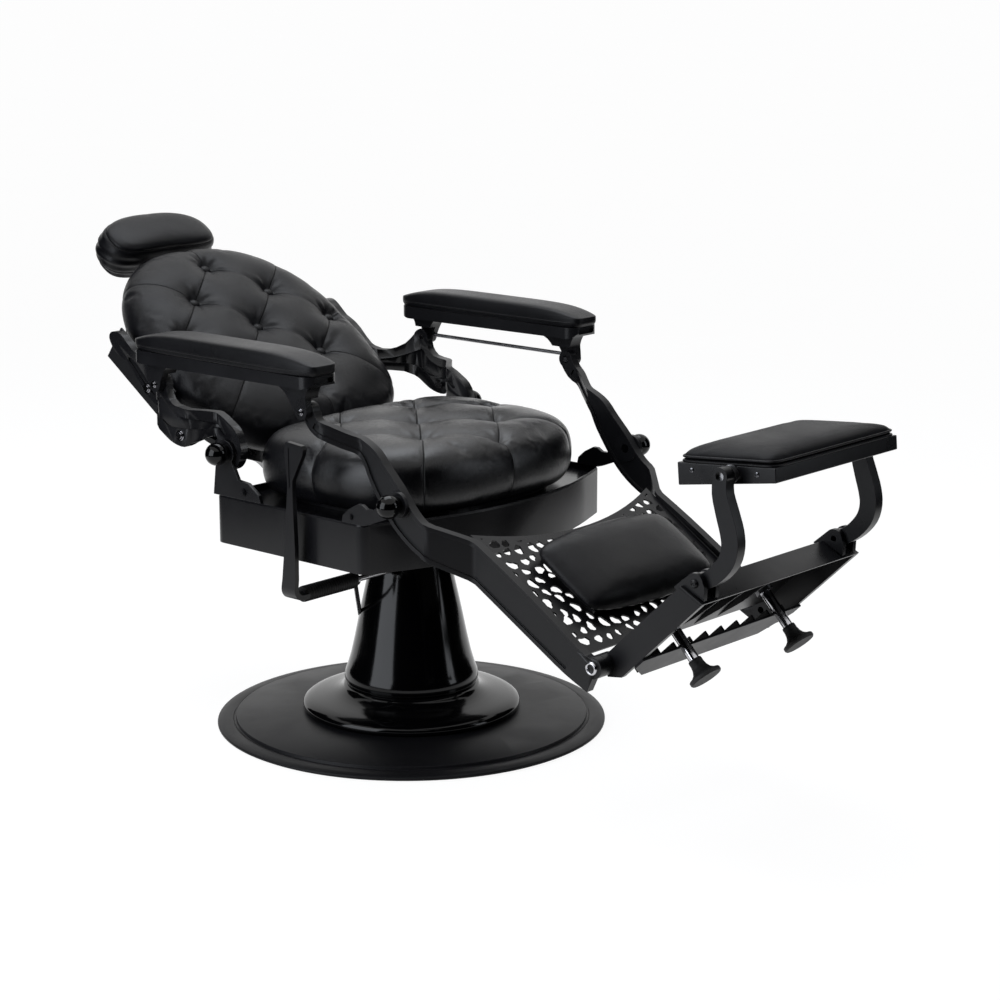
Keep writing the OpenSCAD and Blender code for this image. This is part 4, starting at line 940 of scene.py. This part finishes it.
class CHAIR_OT_seat_cushion(bpy.types.Operator):
    """Makes the tufted seat cushion"""

    bl_idname = "chair.seat_cushion"
    bl_label = "Seat cushion"

    def execute(self, context):
        sewing = context.scene.chair_sewing
        sewn = Tufts((sewing.seat_across, sewing.seat_along), sewing.seat_mid, puff=2.0, seam=2.2,
                     roll=6.0, roll_width=22.0, reach=150.0, dimple=9.0, star=0.8, side=3.0, line=16.0)
        form = (oval(720, 266, 190, 228, 4.5, 3), SEAT_RINGS, 117)
        cushion("seat_cover", "seat_cushion", "seat", form, SEAT_FRAME, sewn, gloss=2.3)
        return {"FINISHED"}


class CHAIR_OT_back_cushion(bpy.types.Operator):
    """Makes the buttoned back cushion and its covered buttons"""

    bl_idname = "chair.back_cushion"
    bl_label = "Back cushion"

    # A button's profile: share of its radius and height over its place
    button = [
        (0.0, 0.62), (0.35, 0.58), (0.62, 0.47), (0.85, 0.26), (0.97, 0.02), (0.92, -0.3), (0.0, -0.42),
    ]

    def execute(self, context):
        sewing = context.scene.chair_sewing
        sewn = Tufts((sewing.back_across, sewing.back_along), sewing.back_mid, puff=0.8, seam=1.4,
                     roll=3.0, roll_width=9.0, reach=50.0, dimple=15.0, star=1.3, side=1.6, line=34.0)
        where = offset_frame(BACK_FRAME, (0, 0, BACK_LOW))
        form = (oval(720, 247, 285, 232, 2.35, 3), BACK_RINGS, 104)
        piece = cushion("back_cover", "back_cushion", "backrest", form, where, sewn)
        self.cover_buttons(piece, sewn.places, sewing.button, where)
        return {"FINISHED"}

    def cover_buttons(self, piece, places, radius, where):
        """Covered buttons that sit 1 mm over the bottom of each dimple."""
        back, top_start, dimple, around = place(where).inverted(), 40, 6, 24
        cloud = np.array([tuple(back @ v.co) for v in piece.data.vertices])
        cloud = cloud[cloud[:, 2] > top_start]
        points, faces = [], []
        for x, y in places:
            z = cloud[np.hypot(cloud[:, 0] - x, cloud[:, 1] - y) < dimple, 2].mean() + 1.0
            button, quads = lathed(radius * np.array(self.button), around, len(points))
            points += list(button + (x, y, z))
            faces += quads
        grown("back_buttons", points, faces, "leather", "backrest", place(where), weld=1e-7)


class CHAIR_OT_headrest(bpy.types.Operator):
    """Makes the boxed headrest pad with its end pleats"""

    bl_idname = "chair.headrest"
    bl_label = "Headrest"

    half, low, hollow = 132, 62, 22

    def execute(self, context):
        outline = oval(720, self.half, 64, self.low, 2.5, 2.6)
        q, y = outline[:, 0] / self.half, outline[:, 1]
        outline[:, 1] += np.where(y < 0, self.hollow * (1 - q * q) * np.minimum(1, -2 * y / self.low), 0)
        cushion("headrest_cover", "headrest_pad", "headrest", (outline, HEAD_RINGS, 74),
                offset_frame(BACK_FRAME, (0, 338, HEAD_LOW)), Boxing(9, 60, self.half),
                5.0, 0.15, (90, 260))
        return {"FINISHED"}


class CHAIR_OT_arm_pads(bpy.types.Operator):
    """Makes the two leather arm pads"""

    bl_idname = "chair.arm_pads"
    bl_label = "Arm pads"

    half, thick, fall = 37.5, 34, 14

    def execute(self, context):
        for side in ("left", "right"):
            low, high = (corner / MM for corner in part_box("arm_pad_" + side))
            long = (high.y - low.y) / 2
            outline = evened(oval(720, self.half, long, long, 6, 6), 260)
            points, faces = stuffed(outline, dense(ARM_RINGS, 56), self.thick)
            upper = ramp(points[:, 2] / self.thick, 0.5, 1)
            points[:, 2] -= self.fall * (np.abs(points[:, 1]) / long) ** 5 * upper
            where = place((((low.x + high.x) / 2, (low.y + high.y) / 2, low.z), 0.0))
            piece = grown("arm_cover_" + side, points, faces, "leather", "armrest_" + side, where)
            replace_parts(piece, "arm_pad_" + side)
            welt("arm_welt_" + side, evened(outline, 220), 8.5, 1.4, "armrest_" + side, where)
        return {"FINISHED"}


class CHAIR_OT_calf_pad(bpy.types.Operator):
    """Makes the calf cushion"""

    bl_idname = "chair.calf_pad"
    bl_label = "Calf pad"

    half, long = 164, 75

    def execute(self, context):
        x, y = oval(720, self.half, self.long, self.long, 11, 11).T
        u, v = x / self.half, y / self.long
        outline = np.stack([x * (1 + 0.03 * (1 - v * v)), y * (1 + 0.2 * (1 - u * u))], 1)
        cushion("calf_cover", "calf_pad", "legrest", (outline, CALF_RINGS, 44),
                offset_frame(LEG_FRAME, (0, -5, 11)), Boxing(5), 5.0, 0.3, (64, 240))
        return {"FINISHED"}


class CHAIR_OT_foot_pad(bpy.types.Operator):
    """Makes the foot cushion with its double piping"""

    bl_idname = "chair.foot_pad"
    bl_label = "Foot pad"

    def execute(self, context):
        outline = oval(1440, 165, 103, 80, 14, 14)
        where = offset_frame(PAD_FRAME, (0, 0, 12))
        cushion("foot_cover", "foot_pad", "pad", (outline, PAD_RINGS, 26), where, Boxing(5),
                5.0, 0.25, (56, 260), 0.45)
        rim = evened(outline, 220)
        for name, height, share in (("foot_piping_low", 1.8, 0.992), ("foot_piping_high", 8.5, 0.988)):
            welt(name, rim * share, height, 1.9, "pad", place(where))
        return {"FINISHED"}


class CHAIR_OT_lever_sleeve(bpy.types.Operator):
    """Makes the ribbed sleeve of the pump lever"""

    bl_idname = "chair.lever_sleeve"
    bl_label = "Lever sleeve"

    ribs, around, end = 22, 40, 0.012
    # Profiles of a rib and of an end: share of its length and of the radius
    rib = [(0.1, 0.93), (0.22, 0.99), (0.5, 1.0), (0.78, 0.99), (0.9, 0.93)]
    cap = [(0.0, 0.55), (0.0, 0.9), (0.004, 0.96)]

    def execute(self, context):
        low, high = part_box("lever_sleeve")
        mid, radius, length = (low + high) / 2, (high.z - low.z) / 2, high.x - low.x
        width = (1 - 2 * self.end) / self.ribs
        profile = list(self.cap)
        profile += [(self.end + width * (k + t), r) for k in range(self.ribs) for t, r in self.rib]
        profile += [(1 - along, r) for along, r in reversed(self.cap)]
        points, faces = lathed([(radius * r, length * along) for along, r in profile], self.around)
        points = np.roll(points, 1, 1) + (low.x, mid.y, mid.z)
        faces += [tuple(range(self.around)), tuple(range(len(points) - self.around, len(points)))]
        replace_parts(grown("sleeve_ribs", points, faces, "rubber", "lever"), "lever_sleeve")
        return {"FINISHED"}


class CHAIR_OT_foot_screws(bpy.types.Operator):
    """Makes the ringed hinge screws and the dark clamp screws of the footrest"""

    bl_idname = "chair.foot_screws"
    bl_label = "Foot screws"

    # Profiles: share of the radius and of the head's height
    ring = [(0.6, 0.2), (0.64, 0.9), (0.7, 1.0), (0.9, 0.96), (1.0, 0.6), (1.0, 0.0)]
    hub = [(0.0, 0.5), (0.5, 0.5), (0.62, 0.35), (0.64, 0.0)]
    dome = [(0.0, 0.7), (0.35, 0.7), (0.4, 1.0), (0.7, 0.92), (0.9, 0.65), (1.0, 0.2), (1.0, 0.0)]
    clamp = (206.4, -786.4, 431.6)
    head, around = 5, 32

    def execute(self, context):
        hinge = (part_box("foot_screws")[1].x / MM - self.head, *FOOT_FRAME[0][1:])
        rings = self.turned("hinge_rings", hinge, self.ring, 11.0, "chrome")
        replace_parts(rings, "foot_screws")
        self.turned("hinge_hubs", hinge, self.hub, 11.0, "satin_black")
        self.turned("clamp_screws", self.clamp, self.dome, 7.0, "satin_black")
        return {"FINISHED"}

    def turned(self, name, at, profile, radius, slot):
        """A pair of screw heads, one on each side."""
        points, faces = [], []
        for sign in (1, -1):
            head, quads = lathed(np.array(profile) * (radius, self.head), self.around, len(points))
            points += list(np.roll(head, 1, 1) * (sign, 1, sign) + (sign * at[0], *at[1:]))
            faces += quads
        return grown(name, points, faces, slot, "footrest", IN_MM)


class CHAIR_OT_collar(bpy.types.Operator):
    """Makes the collar that flares out below the cone"""

    bl_idname = "chair.collar"
    bl_label = "Collar"

    radius, height, foot, around = 197.0, 45.0, 26.0, 120
    # Its profile: share of the radius and of the height over the foot
    profile = [
        (0.54, 0.0), (0.54, 1.0), (0.61, 1.0), (0.622, 0.9), (0.645, 0.8), (0.685, 0.71), (0.74, 0.64),
        (0.81, 0.575), (0.88, 0.515), (0.935, 0.45), (0.975, 0.36), (0.997, 0.24), (0.995, 0.12),
        (0.975, 0.03), (0.96, 0.0),
    ]

    def execute(self, context):
        profile = np.array(self.profile) * (self.radius, self.height) + (0, self.foot)
        points, faces = lathed(profile, self.around, closed=True)
        body = NODES["base_collar"]["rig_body"]
        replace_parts(grown("flared_collar", points, faces, "gloss_black", body, IN_MM), "base_collar")
        return {"FINISHED"}


class CHAIR_OT_stage(bpy.types.Operator):
    """Makes the floor, the room, the lights and the camera"""

    bl_idname = "chair.stage"
    bl_label = "Stage"

    # Lights: place, what they look at, and their width and height, in metres
    lights = {
        "top": ((0.3, 0.6, 2.9), (0, -0.1, 0.5), (2.2, 1.6)),
        "left": ((-2.57, 0.5, 1.25), (0, 0, 0.5), (2.0, 2.3)),
        "right": ((1.4, -2.65, 1.3), (0, -0.3, 0.5), (0.7, 2.0)),
    }
    floor_half = 150
    camera_at, heading, pitch = (-3.144, -2.979, 1.410), 41.34, -13.07
    # The curtain: its foot on the floor and its top, as radius and height, and its middle
    curtain_levels, curtain_middle, curtain_parts = ((1.9, 0.004), (6.0, 0.004), (6.0, 5.0)), 221.3, 48

    def execute(self, context):
        stage = context.scene.chair_stage
        self.make_floor(stage)
        self.make_room(context, stage)
        self.make_curtain(stage)
        for name, (at, target, size) in self.lights.items():
            self.make_light(name, at, target, size, stage)
        self.make_camera(context, stage)
        context.scene.view_settings.view_transform = "Standard"
        return {"FINISHED"}

    def make_floor(self, stage):
        made = Finish("floor", Specular_IOR_Level=0.0, Roughness=0.8)
        tone = made.remap(made.noise(1.3), 0.3, 0.7, 0.97, 1.0)
        made.feed(made.shader.inputs["Base Color"], made.tint(stage.floor_colour, tone))
        made.shader.inputs["Emission Color"].default_value = (1, 1, 1, 1)
        made.feed(made.shader.inputs["Emission Strength"], made.product(made.seen(), stage.floor_white))
        far = self.floor_half
        mesh = new_mesh("floor", [(-far, -far, 0), (far, -far, 0), (far, far, 0), (-far, far, 0)],
                        [(0, 1, 2, 3)])
        mesh.materials.append(made.material)
        linked("floor", mesh)

    def make_curtain(self, stage):
        """A dark curtain behind the camera with its foot on the floor, out of the picture.

        Studios hang one to keep the front of gloss black dark.
        """
        made = Finish("curtain", Specular_IOR_Level=0.0, Roughness=1.0)
        made.shader.inputs["Base Color"].default_value = (0.012, 0.012, 0.013, 1)
        middle, turn = math.radians(self.curtain_middle), math.radians(stage.curtain)
        points, faces = [], []
        for i in range(self.curtain_parts + 1):
            t = middle + turn * (i / self.curtain_parts - 0.5)
            points += [(r * math.cos(t), r * math.sin(t), z) for r, z in self.curtain_levels]
        for i in range(self.curtain_parts):
            faces += [(3 * i + k, 3 * i + 3 + k, 3 * i + 4 + k, 3 * i + 1 + k) for k in (0, 1)]
        mesh = new_mesh("curtain", points, faces)
        mesh.materials.append(made.material)
        curtain = linked("curtain", mesh)
        curtain.visible_camera = False
        curtain.visible_shadow = False

    def make_room(self, context, stage):
        world = bpy.data.worlds.new("room")
        world.use_nodes = True
        context.scene.world = world
        nodes = Nodes(world.node_tree)
        plain = world.node_tree.nodes["Background"]
        plain.inputs["Color"].default_value = (1, 1, 1, 1)
        plain.inputs["Strength"].default_value = stage.room
        white = nodes.add("ShaderNodeBackground", {"Color": (1, 1, 1, 1), "Strength": 1.0})
        mixed = nodes.add("ShaderNodeMixShader", {
            0: nodes.seen(), 1: plain.outputs[0], 2: white.outputs[0]})
        nodes.feed(world.node_tree.nodes["World Output"].inputs["Surface"], mixed.outputs[0])

    def make_light(self, name, at, target, size, stage):
        data = bpy.data.lights.new(name + "_light", "AREA")
        data.shape = "RECTANGLE"
        data.size, data.size_y = size
        data.energy = getattr(stage, name)
        data.color = stage.lamp_colour[:3]
        light = linked(name + "_light", data)
        light.location = at
        light.rotation_euler = (Vector(target) - Vector(at)).to_track_quat("-Z", "Y").to_euler()
        light.visible_camera = False

    def make_camera(self, context, stage):
        data = bpy.data.cameras.new("camera")
        data.sensor_width = 36
        data.lens = stage.lens
        camera = linked("camera", data)
        camera.location = self.camera_at
        heading, pitch = math.radians(self.heading), math.radians(self.pitch)
        level = math.cos(pitch)
        ahead = Vector((math.cos(heading) * level, math.sin(heading) * level, math.sin(pitch)))
        camera.rotation_mode = "QUATERNION"
        camera.rotation_quaternion = ahead.to_track_quat("-Z", "Y")
        context.scene.camera = camera


STEPS = (
    CHAIR_OT_stage, CHAIR_OT_finishes, CHAIR_OT_castings, CHAIR_OT_seat_cushion, CHAIR_OT_back_cushion,
    CHAIR_OT_headrest, CHAIR_OT_arm_pads, CHAIR_OT_calf_pad, CHAIR_OT_foot_pad, CHAIR_OT_lever_sleeve,
    CHAIR_OT_foot_screws, CHAIR_OT_collar,
)


class CHAIR_PT_looks(bpy.types.Panel):
    """Lists the chair's settings and steps"""

    bl_idname = "CHAIR_PT_looks"
    bl_label = "Barber chair"
    bl_space_type = "VIEW_3D"
    bl_region_type = "UI"
    bl_category = "Chair"

    def draw(self, context):
        for group, kind in SETTINGS.items():
            box = self.layout.box()
            for name in kind.__annotations__:
                box.prop(getattr(context.scene, group), name)
        for step in STEPS:
            self.layout.operator(step.bl_idname)


CLASSES = (*SETTINGS.values(), *STEPS, CHAIR_PT_looks)


def register():
    for entry in CLASSES:
        bpy.utils.register_class(entry)
    for group, kind in SETTINGS.items():
        setattr(bpy.types.Scene, group, bpy.props.PointerProperty(type=kind))


def unregister():
    for group in SETTINGS:
        delattr(bpy.types.Scene, group)
    for entry in reversed(CLASSES):
        bpy.utils.unregister_class(entry)


def main():
    register()
    bpy.ops.chair.stage()
    bpy.ops.chair.finishes()
    bpy.ops.chair.castings()
    bpy.ops.chair.seat_cushion()
    bpy.ops.chair.back_cushion()
    bpy.ops.chair.headrest()
    bpy.ops.chair.arm_pads()
    bpy.ops.chair.calf_pad()
    bpy.ops.chair.foot_pad()
    bpy.ops.chair.lever_sleeve()
    bpy.ops.chair.foot_screws()
    bpy.ops.chair.collar()


if __name__ == "__main__":
    main()
